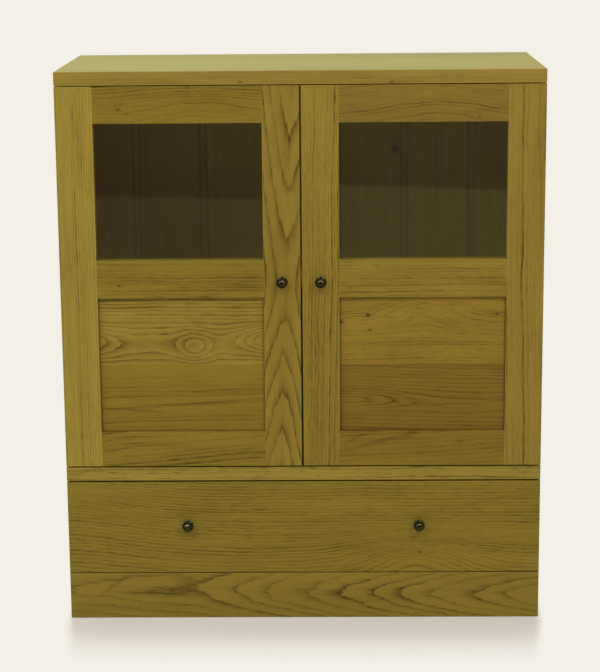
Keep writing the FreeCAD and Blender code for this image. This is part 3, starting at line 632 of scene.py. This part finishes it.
# Boards that the photo shows clearly. Eyes, smears and knots are placed in the frame.
SHOWN_GRAIN = {
    "left_door_hinge_stile": Grain(
        pith_across=0.30, pith_depth=0.12, ring=0.0042, warp=0.003,
        contrast=0.38, fleck=0.14, tint=(1.09, 1.12, 1.36),
    ),
    "left_door_meeting_stile": Grain(
        pith_across=0.007, pith_depth=0.075, lean=0.038, bend=-0.0875, tilt=0.0125, bend_at=-0.010,
        point=1.45, spread=1.45, ring=0.0071, warp=0.002, edge=4.5, even=0.7,
        contrast=0.78, fleck=0.08, tint=(0.90, 0.87, 0.99),
    ),
    "right_door_meeting_stile": Grain(
        pith_across=-0.16, pith_depth=0.10, lean=0.02, ring=0.0050, warp=0.006, edge=1.5,
        contrast=0.56, fleck=0.24, slope=-0.38, seed=3.4, tint=(0.95, 0.90, 1.04),
    ),
    "right_door_hinge_stile": Grain(
        pith_across=0.14, pith_depth=0.08, lean=-0.015, ring=0.0090, warp=0.006,
        contrast=0.66, seed=4, tint=(0.92, 0.875, 1.12),
    ),
    "left_door_top_rail": Grain(
        pith_across=-0.08, pith_depth=0.06, ring=0.0058, warp=0.006,
        contrast=0.52, seed=5, tint=(0.78, 0.755, 0.745),
        eyes=(Eye(-0.19, 0.985, 0.11, 0.05, -0.014),),
        knots=(
            Knot(-0.3327, 0.9803, 0.0035, 0.45),
            Knot(-0.3183, 0.9729, 0.0022, 0.3),
            Knot(-0.2056, 1.0194, 0.0024, 0.6),
        ),
    ),
    "left_door_middle_rail": Grain(
        pith_across=-0.16, pith_depth=0.045, ring=0.0060, warp=0.006, edge=1.2,
        contrast=0.45, seed=6, tint=(0.85, 0.835, 0.82),
        knots=(Knot(-0.3401, 0.6527, 0.0025, 0.7),),
        smears=(
            Smear(-0.100, 0.6500, 0.045, 0.0045, -0.03, 0.45),
            Smear(-0.2226, 0.6482, 0.014, 0.0045, 0.0, 0.25),
            Smear(-0.1744, 0.6335, 0.022, 0.0035, 0.1, 0.3),
        ),
    ),
    "left_door_bottom_rail": Grain(
        pith_across=-0.14, pith_depth=0.05, lean=0.09, ring=0.0075, edge=1.2,
        contrast=0.64, seed=7, tint=(0.83, 0.815, 0.76),
        eyes=(Eye(-0.3237, 0.3545, 0.040, 0.012, -0.008),),
        smears=(
            Smear(-0.326, 0.3605, 0.034, 0.0020, 0.0, 0.4),
            Smear(-0.320, 0.3485, 0.034, 0.0020, 0.02, 0.4),
        ),
    ),
    "right_door_top_rail": Grain(
        pith_across=-0.14, pith_depth=0.06, ring=0.0065, warp=0.006,
        contrast=0.38, seed=8, tint=(0.795, 0.715, 0.955),
        eyes=(Eye(0.25, 0.985, 0.13, 0.06, -0.024),),
        knots=(Knot(0.3285, 0.9629, 0.0022, 0.5),),
    ),
    "right_door_middle_rail": Grain(
        pith_across=-0.22, pith_depth=0.05, ring=0.0062, edge=1.5,
        contrast=0.48, fleck=0.28, seed=9, tint=(0.95, 0.885, 1.01),
    ),
    "right_door_bottom_rail": Grain(
        pith_across=-0.10, pith_depth=0.05, lean=0.06, ring=0.0080, warp=0.006,
        contrast=0.66, seed=10, tint=(0.76, 0.70, 0.67),
        smears=(
            Smear(0.150, 0.3520, 0.070, 0.0040, 0.27, 0.35),
            Smear(0.205, 0.3650, 0.014, 0.0055, 0.5, 0.3),
            Smear(0.098, 0.3556, 0.022, 0.0028, 0.54, 0.3),
            Smear(0.299, 0.3508, 0.012, 0.0045, 0.0, 0.25),
        ),
    ),
    "left_door_panel_upper": Grain(
        pith_across=-0.030, pith_depth=0.045, ring=0.0060, warp=0.005, start=0.2, even=0.5,
        contrast=0.68, fleck=0.12, seed=11, tint=(0.985, 0.965, 1.14),
        eyes=(
            Eye(-0.2022, 0.5343, 0.030, 0.030, -0.0141),
            Eye(-0.420, 0.5453, 0.0716, 0.030, -0.0197),
            Eye(-0.0600, 0.5490, 0.052, 0.026, -0.0225),
        ),
    ),
    "left_door_panel_lower": Grain(
        pith_across=-0.25, pith_depth=0.05, lean=0.03, ring=0.0085, warp=0.008,
        contrast=0.36, fleck=0.12, seed=12, tint=(0.785, 0.755, 0.665),
        smears=(
            Smear(-0.350, 0.4148, 0.045, 0.0018, -0.06, 0.5),
            Smear(-0.298, 0.4100, 0.030, 0.0016, -0.05, 0.3),
            Smear(-0.200, 0.4245, 0.130, 0.0026, 0.06, 0.6),
            Smear(-0.140, 0.4500, 0.110, 0.0060, 0.04, 0.30),
            Smear(-0.225, 0.4950, 0.300, 0.0400, 0.0, -0.07),
            Smear(-0.225, 0.3950, 0.300, 0.0450, 0.0, 0.08),
        ),
    ),
    "right_door_panel_upper": Grain(
        pith_across=-0.20, pith_depth=0.05, ring=0.0048,
        contrast=0.42, fleck=0.28, seed=13, tint=(0.965, 0.86, 0.90),
        eyes=(Eye(0.225, 0.610, 0.080, 0.036, -0.036),),
        knots=(
            Knot(0.1238, 0.5935, 0.0034, 0.9),
            Knot(0.0733, 0.5804, 0.0036, 0.8),
            Knot(0.1275, 0.5648, 0.0028, 0.7),
            Knot(0.3645, 0.5942, 0.0028, 0.7),
        ),
    ),
    "right_door_panel_lower": Grain(
        pith_across=-0.008, pith_depth=0.060, lean=-0.030, ring=0.0046, warp=0.003,
        start=0.33, edge=3, even=0.35, contrast=0.56, fleck=0.10, seed=14, tint=(0.69, 0.61, 0.58),
        eyes=(Eye(0.086, 0.432, 0.120, 0.019, -0.0165), Eye(0.300, 0.416, 0.070, 0.012, -0.006)),
        smears=(
            Smear(0.166, 0.4310, 0.018, 0.0022, -0.45, 0.45),
            Smear(0.201, 0.4275, 0.020, 0.0020, -0.53, 0.30),
        ),
    ),
    "drawer_front": Grain(
        pith_across=-0.20, pith_depth=0.06, ring=0.0062, warp=0.006, even=0.5,
        contrast=0.46, seed=15, tint=(0.89, 0.88, 0.87),
        eyes=(Eye(0.215, 0.120, 0.115, 0.050, -0.040), Eye(-0.470, 0.190, 0.180, 0.120, -0.030)),
        knots=(Knot(0.2225, 0.1311, 0.0022, 0.8),),
    ),
    "plinth_front": Grain(
        pith_across=0.010, pith_depth=0.092, lean=-0.020, bend=-0.030, tilt=-0.040, bend_at=-0.22,
        bend_round=0.06, point=1.7, spread=1.4, ring=0.0046, teeth=0.4, edge=4.5, even=0.35,
        contrast=0.76, fleck=0.10, seed=16, tint=(0.825, 0.815, 0.875),
        smears=(
            Smear(-0.309, 0.0500, 0.060, 0.0050, -0.04, 0.5),
            Smear(-0.2231, 0.0815, 0.024, 0.0060, 0.0, 0.45),
            Smear(-0.358, 0.0715, 0.030, 0.0050, 0.7, 0.45),
        ),
    ),
    "mid_board": Grain(
        pith_across=-0.5, pith_depth=0.30, ring=0.0040, edge=1.5,
        contrast=0.46, fleck=0.44, stave=0.12, seed=17, tint=(1.01, 1.01, 1.29),
    ),
    "top_board": Grain(
        pith_across=0.02, pith_depth=-0.05, ring=0.0055, warp=0.006,
        contrast=0.14, fleck=0.06, stave=0.11, seed=18, tint=(1.03, 0.985, 1.55),
        knots=(Knot(-0.1088, 1.0296, 0.003, 0.5), Knot(0.1679, 1.0276, 0.003, 0.6)),
    ),
    "back_board_5": Grain(
        pith_across=0.10, pith_depth=0.08, ring=0.006, warp=0.006,
        contrast=0.18, fleck=0.08, seed=19,
        knots=(Knot(0.1854, 0.8578, 0.008, 0.9),),
    ),
}


def hidden_grain(node):
    """The grain of a board that the photo doesn't show, drawn by its name."""
    luck = random.Random(node)
    return Grain(
        pith_across=luck.uniform(-0.10, 0.10),
        pith_depth=luck.uniform(0.05, 0.10),
        bend=luck.uniform(-0.05, 0.05),
        bend_at=luck.uniform(-0.3, 0.3),
        ring=luck.uniform(0.0048, 0.0068),
        warp=0.006,
        seed=luck.uniform(20, 90),
    )


# Painted shade and dirt darken lines along the panels' frames and along the strips that show between the back
# boards. Such a strip is part of the lap on a board's right.
PANEL_CREASE_HALF_WIDTH = 0.003
BACK_CREASE_HALF_WIDTH = 0.0026
BACK_LAP = 0.020
BACK_STRIP = 0.014


def panel_creases(door):
    """Lines of painted shade and dirt along the frame around a door's panel."""
    stiles = [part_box(f"{door}_{stile}") for stile in STILES]
    (_, left), (right, _) = sorted(stiles, key=lambda box: box[0].x)
    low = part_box(f"{door}_bottom_rail")[1]
    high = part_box(f"{door}_middle_rail")[0]
    lines = (("x", left.x), ("x", right.x), ("z", low.z), ("z", high.z))
    return tuple(Crease(axis, place, PANEL_CREASE_HALF_WIDTH) for axis, place in lines)


def back_creases(board):
    """Lines of painted shade and dirt along both sides of the strips beside a back board."""
    low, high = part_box(board)
    strip = high.x - BACK_LAP
    places = (low.x, strip, strip + BACK_STRIP)
    return tuple(Crease("x", place, BACK_CREASE_HALF_WIDTH) for place in places)


def find_creases():
    creases = {board: back_creases(board) for board in BACK_BOARDS}
    for door in DOORS:
        for panel in PANELS:
            creases[f"{door}_{panel}"] = panel_creases(door)
    return creases


CREASES = find_creases()


def dress_board(node, lie, wood=OAK, **changes):
    """Give a board the grain that the photo shows, or else a drawn one with some changes."""
    grain = SHOWN_GRAIN.get(node) or replace(hidden_grain(node), **changes)
    wood_material(node, lie, wood, replace(grain, creases=CREASES.get(node, ())))


def dress_doors():
    for door in DOORS:
        for stile in STILES:
            dress_board(f"{door}_{stile}", UPRIGHT)
        for board in ("top_rail", "middle_rail", "bottom_rail", *PANELS, "glazing_beads"):
            dress_board(f"{door}_{board}", LEVEL)


def dress_carcass():
    dress_board("top_board", FLAT, DUSTY_OAK)
    for board in ("mid_board", "bottom_board", "shelf"):
        dress_board(board, FLAT, stave=0.11)
    for board in ("plinth_front", "plinth_back"):
        dress_board(board, LEVEL)
    for side in SIDES:
        dress_board(f"side_{side}", SIDE_UPRIGHT, stave=0.105, contrast=0.34, fleck=0.12)
        dress_board(f"plinth_{side}", SIDE_LEVEL)
        dress_board(f"drawer_runner_{side}", SIDE_LEVEL, BEECH, contrast=0.25)
    for board in BACK_BOARDS:
        dress_board(board, UPRIGHT, contrast=0.18, fleck=0.08)
    dress_board("plinth_corner_blocks", UPRIGHT, ROUGH_PALE)
    dress_board("carcass_dowels", UPRIGHT, BEECH, contrast=0.25)


def dress_drawer():
    dress_board("drawer_front", LEVEL)
    for side in SIDES:
        dress_board(f"drawer_side_{side}", SIDE_LEVEL, PALE)
    dress_board("drawer_back", LEVEL, PALE)
    dress_board("drawer_bottom", FLAT, PALE, stave=0.14)


# Glass: it has a faint ripple, and shadow rays and diffuse rays go straight through it.
GLASS_TINT = (0.96, 0.97, 0.95, 1)
GLASS_SHADE = (0.93, 0.94, 0.92, 1)
GLASS_IOR = 1.45
GLASS_WAVES = 6
GLASS_BUMP = {"distance": 0.001, "strength": 0.03}


def glass_material():
    material, shader = new_material("clear_glass")
    ripple = shader.noise(shader.waves(GLASS_WAVES, GLASS_WAVES, GLASS_WAVES), detail=1)
    glass = shader.add(
        "ShaderNodeBsdfPrincipled",
        {
            "Base Color": GLASS_TINT,
            "Roughness": 0.0,
            "IOR": GLASS_IOR,
            "Transmission Weight": 1.0,
            "Normal": shader.bump(ripple, **GLASS_BUMP),
        },
    )
    path = shader.add("ShaderNodeLightPath").outputs
    open_ray = shader.math("MAXIMUM", path["Is Shadow Ray"], path["Is Diffuse Ray"])
    clear = shader.add("ShaderNodeBsdfTransparent", {"Color": GLASS_SHADE})
    finish_material(shader, shader.either(open_ray, glass, clear))
    return material


# Metal: fine scratches, drawn out along x, and blotches where the patina is worn.
SCRATCH_WAVES = (300, 2500, 2500)
SCRATCH_BUMP = {"distance": 0.0002, "strength": 0.25}
WORN_LEVELS = (0.5, 0.75)
BLOTCH_ROUGHNESS = 0.2
LACQUER_ROUGHNESS = 0.03


def metal_material(name, colour, worn, roughness, blotch_waves, lacquer=0.0):
    """Metal with a patina that is worn through in blotches, under a coat of lacquer where it has one."""
    material, shader = new_material(name)
    patches = shader.noise(shader.waves(blotch_waves, blotch_waves, blotch_waves), detail=4, roughness=0.6)
    scratches = shader.noise(shader.waves(*SCRATCH_WAVES))
    principled = shader.add(
        "ShaderNodeBsdfPrincipled",
        {
            "Base Color": shader.mix(patches.step(*WORN_LEVELS), (*colour, 1), (*worn, 1)),
            "Metallic": 1.0,
            "Roughness": patches * BLOTCH_ROUGHNESS + roughness,
            "Coat Weight": lacquer,
            "Coat Roughness": LACQUER_ROUGHNESS,
            "Normal": shader.bump(scratches, **SCRATCH_BUMP),
        },
    )
    finish_material(shader, principled)
    return material


# Plastic: moulded with a fine pebbled face.
PLASTIC_DARK = (0.08, 0.05, 0.03, 1)
PLASTIC_LIGHT = (0.12, 0.08, 0.05, 1)
PEBBLE_WAVES = 1400
PEBBLE_BUMP = {"distance": 0.0002, "strength": 0.4}
PLASTIC_ROUGHNESS = (0.4, 0.6)


def plastic_material():
    material, shader = new_material("brown_plastic")
    pebble = shader.noise(shader.waves(PEBBLE_WAVES, PEBBLE_WAVES, PEBBLE_WAVES))
    principled = shader.add(
        "ShaderNodeBsdfPrincipled",
        {
            "Base Color": shader.mix(pebble, PLASTIC_DARK, PLASTIC_LIGHT),
            "Roughness": pebble.between(*PLASTIC_ROUGHNESS),
            "Normal": shader.bump(pebble, **PEBBLE_BUMP),
        },
    )
    finish_material(shader, principled)
    return material


# Screws: they stand where the model's plain ones are.
class ScrewSize(NamedTuple):
    head_radius: float
    head_height: float
    radius: float
    pitch: float


KNOB_SCREW = ScrewSize(head_radius=0.004, head_height=0.0025, radius=0.002, pitch=0.0012)
WOOD_SCREW = ScrewSize(head_radius=0.0035, head_height=0.002, radius=0.00175, pitch=0.0018)

# Shares of the head's radius and height: the arms of the cross recess, and the dome from its rim to its foot.
CROSS_REACH = 0.54
CROSS_HALF_WIDTH = 0.13
CROSS_TAPER = 0.72
CROSS_FLOOR = 0.58
CROSS_RIM = 0.02
HEAD_DOME = ((0.62, 0.0), (0.82, 0.14), (0.95, 0.38), (1.0, 0.66), (1.0, 1.0))

# Shares of the thread's radius.
THREAD_ROOT = 0.74
THREAD_TIP = 0.12

# Rows of faces that are shaded smooth, on the dome.
SMOOTH_ROWS = (2, 3, 4)

# How near points are one point, and how near to an end they belong to it.
WELD_DISTANCE = 1e-6
END_THICKNESS = 1e-4


def linked_points(work):
    """The points of a mesh, a list for each piece that hangs together."""
    groups = []
    waiting = set(work.verts)
    while waiting:
        reached = [waiting.pop()]
        for vert in reached:
            linked = {edge.other_vert(vert) for edge in vert.link_edges} & waiting
            waiting -= linked
            reached += linked
        groups.append([vert.co.copy() for vert in reached])
    return groups


def screw_spot(points):
    """The middle of a screw's top, the way it points, and its length. Its head is at the wider end."""
    low = Vector([min(point[axis] for point in points) for axis in range(3)])
    high = Vector([max(point[axis] for point in points) for axis in range(3)])
    long_axis = max(range(3), key=lambda axis: high[axis] - low[axis])
    ends = []
    for end, way in ((low, 1), (high, -1)):
        top = (low + high) / 2
        top[long_axis] = end[long_axis]
        there = [point for point in points if abs(point[long_axis] - end[long_axis]) < END_THICKNESS]
        ends.append((max((point - top).length for point in there), top, way))
    _, top, way = max(ends, key=lambda end: end[0])
    pointing = Vector((0, 0, 0))
    pointing[long_axis] = way
    return top, pointing, high[long_axis] - low[long_axis]


def screw_spots(node):
    """Where each screw of a node is, in a steady order."""
    work = bmesh.new()
    work.from_mesh(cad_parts[node].data)
    bmesh.ops.remove_doubles(work, verts=work.verts, dist=WELD_DISTANCE)
    spots = [screw_spot(points) for points in linked_points(work)]
    work.free()
    return sorted(spots, key=lambda spot: tuple(round(part, 5) for part in spot[0]))


def screw_rings(length, size):
    """Rings of points with their radius and depth, from the floor of the recess over the head to the tip."""
    reach, half = CROSS_REACH, CROSS_HALF_WIDTH
    quarter = [(reach, -half), (reach, half), (half, half)]
    turns = [Matrix.Rotation(turn * math.pi / 2, 2) for turn in range(4)]
    corners = [turn @ Vector(point) for turn in turns for point in quarter]
    cross = []
    for corner, following in zip(corners, corners[1:] + corners[:1]):
        cross += [corner, (corner + following) / 2]
    floor = [point * CROSS_TAPER for point in cross]
    circle = [point.normalized() for point in cross]

    rings = [(floor, size.head_radius, size.head_height * CROSS_FLOOR)]
    rings.append((cross, size.head_radius, size.head_height * CROSS_RIM))
    rings += [(circle, size.head_radius * share, size.head_height * depth) for share, depth in HEAD_DOME]
    depth = size.head_height
    while depth < length - 2 * size.pitch:
        rings.append((circle, size.radius * THREAD_ROOT, depth))
        rings.append((circle, size.radius, depth + size.pitch / 2))
        depth += size.pitch
    rings.append((circle, size.radius * THREAD_ROOT, depth))
    rings.append((circle, size.radius * THREAD_TIP, length))
    return rings


def add_screw(work, top, pointing, length, size):
    """A pan head with a cross recess, and a thread of ridges that ends in a point."""
    turned = pointing.to_track_quat("Z", "X").to_matrix()
    rows = []
    for points, radius, depth in screw_rings(length, size):
        places = (turned @ Vector((point.x * radius, point.y * radius, depth)) for point in points)
        rows.append([work.verts.new(top + place) for place in places])
    for number, (row, following) in enumerate(zip(rows, rows[1:])):
        for at in range(len(row)):
            after = (at + 1) % len(row)
            face = work.faces.new((row[at], row[after], following[after], following[at]))
            face.smooth = number in SMOOTH_ROWS
    work.faces.new(rows[0])
    work.faces.new(rows[-1])


def make_screws(node, body, size, material):
    """Cut screws in place of a node's plain ones."""
    work = bmesh.new()
    for spot in screw_spots(node):
        add_screw(work, *spot, size)
    bmesh.ops.recalc_face_normals(work, faces=work.faces)
    mesh = bpy.data.meshes.new(f"{node}_cut")
    work.to_mesh(mesh)
    work.free()
    mesh.materials.append(material)
    screws = bpy.data.objects.new(f"{node}_cut", mesh)
    SCENE.collection.objects.link(screws)
    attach(screws, body)
    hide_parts(node)


def dress_fittings():
    glass = glass_material()
    bronze = metal_material(
        "dark_bronze",
        colour=(0.024, 0.020, 0.0045),
        worn=(0.13, 0.105, 0.030),
        roughness=0.06,
        blotch_waves=160,
        lacquer=0.4,
    )
    brass = metal_material(
        "turned_brass", colour=(0.62, 0.46, 0.18), worn=(0.42, 0.29, 0.10), roughness=0.22, blotch_waves=200
    )
    steel = metal_material(
        "zinc_steel", colour=(0.55, 0.55, 0.53), worn=(0.42, 0.42, 0.40), roughness=0.28, blotch_waves=240
    )
    for door in DOORS:
        wear(f"{door}_glass", glass)
        wear(f"{door}_knob", bronze)
        make_screws(f"{door}_knob_screw", door, KNOB_SCREW, steel)
        wear(f"{door}_pivot_pins", brass)
        wear(f"{door}_strike_plate", steel)
    for side in SIDES:
        wear(f"drawer_knob_{side}", bronze)
    make_screws("drawer_knob_screws", "drawer", KNOB_SCREW, steel)
    make_screws("wood_screws", "carcass", WOOD_SCREW, steel)
    wear("shelf_pins", brass)
    wear("pivot_bushes", brass)
    wear("magnet_catches", plastic_material())


# The stage: what is seen around the cabinet and in its panes.
def background_rays(shader):
    """1 for rays that show the background: from the camera, off a gloss or through glass."""
    path = shader.add("ShaderNodeLightPath").outputs
    mirrored = shader.math("MAXIMUM", path["Is Glossy Ray"], path["Is Transmission Ray"])
    return mirrored.at_least(path["Is Camera Ray"])


def make_sheet(name, outline, half_width, material):
    """A staged strip: a profile in y and z, drawn out sideways."""
    mesh = bpy.data.meshes.new(name)
    work = bmesh.new()
    rows = [[work.verts.new((side * half_width, y, z)) for side in (-1, 1)] for y, z in outline]
    for (first, second), (fourth, third) in zip(rows, rows[1:]):
        work.faces.new((first, second, third, fourth))
    work.to_mesh(mesh)
    work.free()
    mesh.materials.append(material)
    sheet = bpy.data.objects.new(name, mesh)
    SCENE.collection.objects.link(sheet)
    return sheet


# The floor shows the shadow close to the cabinet. Further out it goes over into the background: soon at the
# sides, and later in front, where the lit patch narrows.
FLOOR_REACH = 30
SIDE_FACTOR = 3
FRONT_FACTOR = 0.3
NARROWING = 0.12
SIDE_INSET = 0.012
FADE = (0.012, 0.072)
SPECKLE_WAVES = (60, 60, 1)
SPECKLE_TONES = (0.99, 1.01)


def make_floor():
    material, shader = new_material("pale_floor")
    x, y, _ = shader.place()
    low, high = CAD_BOX
    before = (low.y - y).at_least(0)
    beside = (abs(x) + before * NARROWING - high.x + SIDE_INSET).at_least(0) * SIDE_FACTOR
    before = before * FRONT_FACTOR
    behind = (y - high.y).at_least(0)
    far = (beside * beside + before * before + behind * behind).root().step(*FADE)
    speckle = shader.noise(shader.waves(*SPECKLE_WAVES)).between(*SPECKLE_TONES)
    lit = shader.add("ShaderNodeBsdfDiffuse", {"Color": shader.scaled(FLOOR_COLOUR, speckle)})
    glow = shader.add("ShaderNodeEmission", {"Color": BACKGROUND, "Strength": 1.0})
    finish_material(shader, shader.either(far * background_rays(shader), lit, glow))
    make_sheet("floor", [(-FLOOR_REACH, 0), (FLOOR_REACH, 0)], FLOOR_REACH, material)


# The flag is a dim glowing sheet in four tones, no lamp, that paints the reflections in the panes. The tones
# change from left to right and at a level line. That line falls a little to the right and has a rise in the
# middle.
FLAG_PROFILE = [(-0.4, 0.004), (-4.0, 0.004), (-4.0, 3.2)]
FLAG_HALF_WIDTH = 3.0
FLAG_TURN = (-0.4, 0.4)
FLAG_LOW_LEFT = (0.45, 0.315, 0.16, 1)
FLAG_LOW_RIGHT = (0.565, 0.48, 0.205, 1)
FLAG_HIGH_LEFT = (0.24, 0.165, 0.105, 1)
FLAG_HIGH_RIGHT = (0.32, 0.235, 0.13, 1)
LINE_FALL = 0.0265
LINE_RISE = 0.0566
LINE_RISE_FROM_TO = (-0.2, 0.1)
LINE_LEVELS = (0.2325, 0.2495)


def make_flag():
    """A dim glowing sheet on the floor and behind the camera, seen in reflections only, as a painted
    reflection. It keeps the panes clear.
    """
    material, shader = new_material("flag_reflection_glow")
    x, _, z = shader.place()
    rightward = x.step(*FLAG_TURN)
    low = shader.mix(rightward, FLAG_LOW_LEFT, FLAG_LOW_RIGHT)
    high = shader.mix(rightward, FLAG_HIGH_LEFT, FLAG_HIGH_RIGHT)
    level = z + x * LINE_FALL - x.step(*LINE_RISE_FROM_TO) * LINE_RISE
    tone = shader.mix(level.step(*LINE_LEVELS), low, high)
    # The glow is seen only in reflections: a painted reflection in the panes and on the gloss.
    reflected_glow = shader.add("ShaderNodeEmission", {"Color": tone, "Strength": 1.0})
    clear = shader.add("ShaderNodeBsdfTransparent")
    reflections = Field(shader, shader.add("ShaderNodeLightPath").outputs["Glossy Depth"])
    finish_material(shader, shader.either(reflections.at_most(1), clear, reflected_glow))
    flag = make_sheet("flag", FLAG_PROFILE, FLAG_HALF_WIDTH, material)
    flag.visible_camera = False
    flag.visible_diffuse = False
    flag.visible_shadow = False


# The light: a dim world, two lamps in front, and weaker ones above, at the left and behind.
class Lamp(NamedTuple):
    name: str
    place: tuple
    target: tuple
    width: float
    height: float
    watts: float
    in_gloss: bool = True


WORLD_LIGHT = 0.30
LAMPS = (
    Lamp("overhead", (0.0, 0.30, 4.2), (0.0, 0.25, 0.0), 1.4, 0.8, 42),
    Lamp("left_front", (-1.7, -3.4, 4.2), (0.0, -0.2, 0.5), 1.2, 1.2, 89),
    Lamp("right_front", (2.0, -3.3, 4.0), (0.0, -0.2, 0.5), 1.1, 1.2, 83),
    Lamp("left_window", (-2.8, -1.5, 1.6), (0.0, -0.2, 0.7), 0.9, 1.5, 22),
    Lamp("back", (-0.9, 4.0, 1.8), (0.0, 0.2, 0.6), 1.6, 1.6, 50, in_gloss=False),
)


def make_world():
    world = bpy.data.worlds.new("studio")
    world.use_nodes = True
    world.node_tree.nodes.clear()
    shader = Shader(world.node_tree)
    fill = shader.add("ShaderNodeBackground", {"Color": SKY_TINT, "Strength": WORLD_LIGHT})
    seen = shader.add("ShaderNodeBackground", {"Color": BACKGROUND, "Strength": 1.0})
    sky = shader.either(background_rays(shader), fill, seen)
    shader.add("ShaderNodeOutputWorld", {"Surface": sky.outputs[0]})
    SCENE.world = world


def make_lamp(lamp):
    light = bpy.data.lights.new(lamp.name, "AREA")
    light.shape = "RECTANGLE"
    light.size = lamp.width
    light.size_y = lamp.height
    light.energy = lamp.watts
    light.color = LAMP_TINT
    holder = bpy.data.objects.new(lamp.name, light)
    holder.location = lamp.place
    beam = Vector(lamp.target) - Vector(lamp.place)
    holder.rotation_euler = beam.to_track_quat("-Z", "Y").to_euler()
    holder.visible_glossy = lamp.in_gloss
    SCENE.collection.objects.link(holder)


def make_camera():
    data = bpy.data.cameras.new("camera")
    data.lens = CAMERA_LENS_MM
    data.sensor_width = SENSOR_MM
    camera = bpy.data.objects.new("camera", data)
    level = Matrix.Rotation(CAMERA_YAW, 4, "Z") @ Matrix.Rotation(math.pi / 2 - CAMERA_PITCH, 4, "X")
    camera.matrix_world = Matrix.Translation(CAMERA_PLACE) @ level @ Matrix.Rotation(CAMERA_ROLL, 4, "Z")
    SCENE.collection.objects.link(camera)
    SCENE.camera = camera


dress_doors()
dress_carcass()
dress_drawer()
dress_fittings()
make_floor()
make_flag()
make_world()
for each_lamp in LAMPS:
    make_lamp(each_lamp)
make_camera()
SCENE.view_settings.view_transform = "Standard"
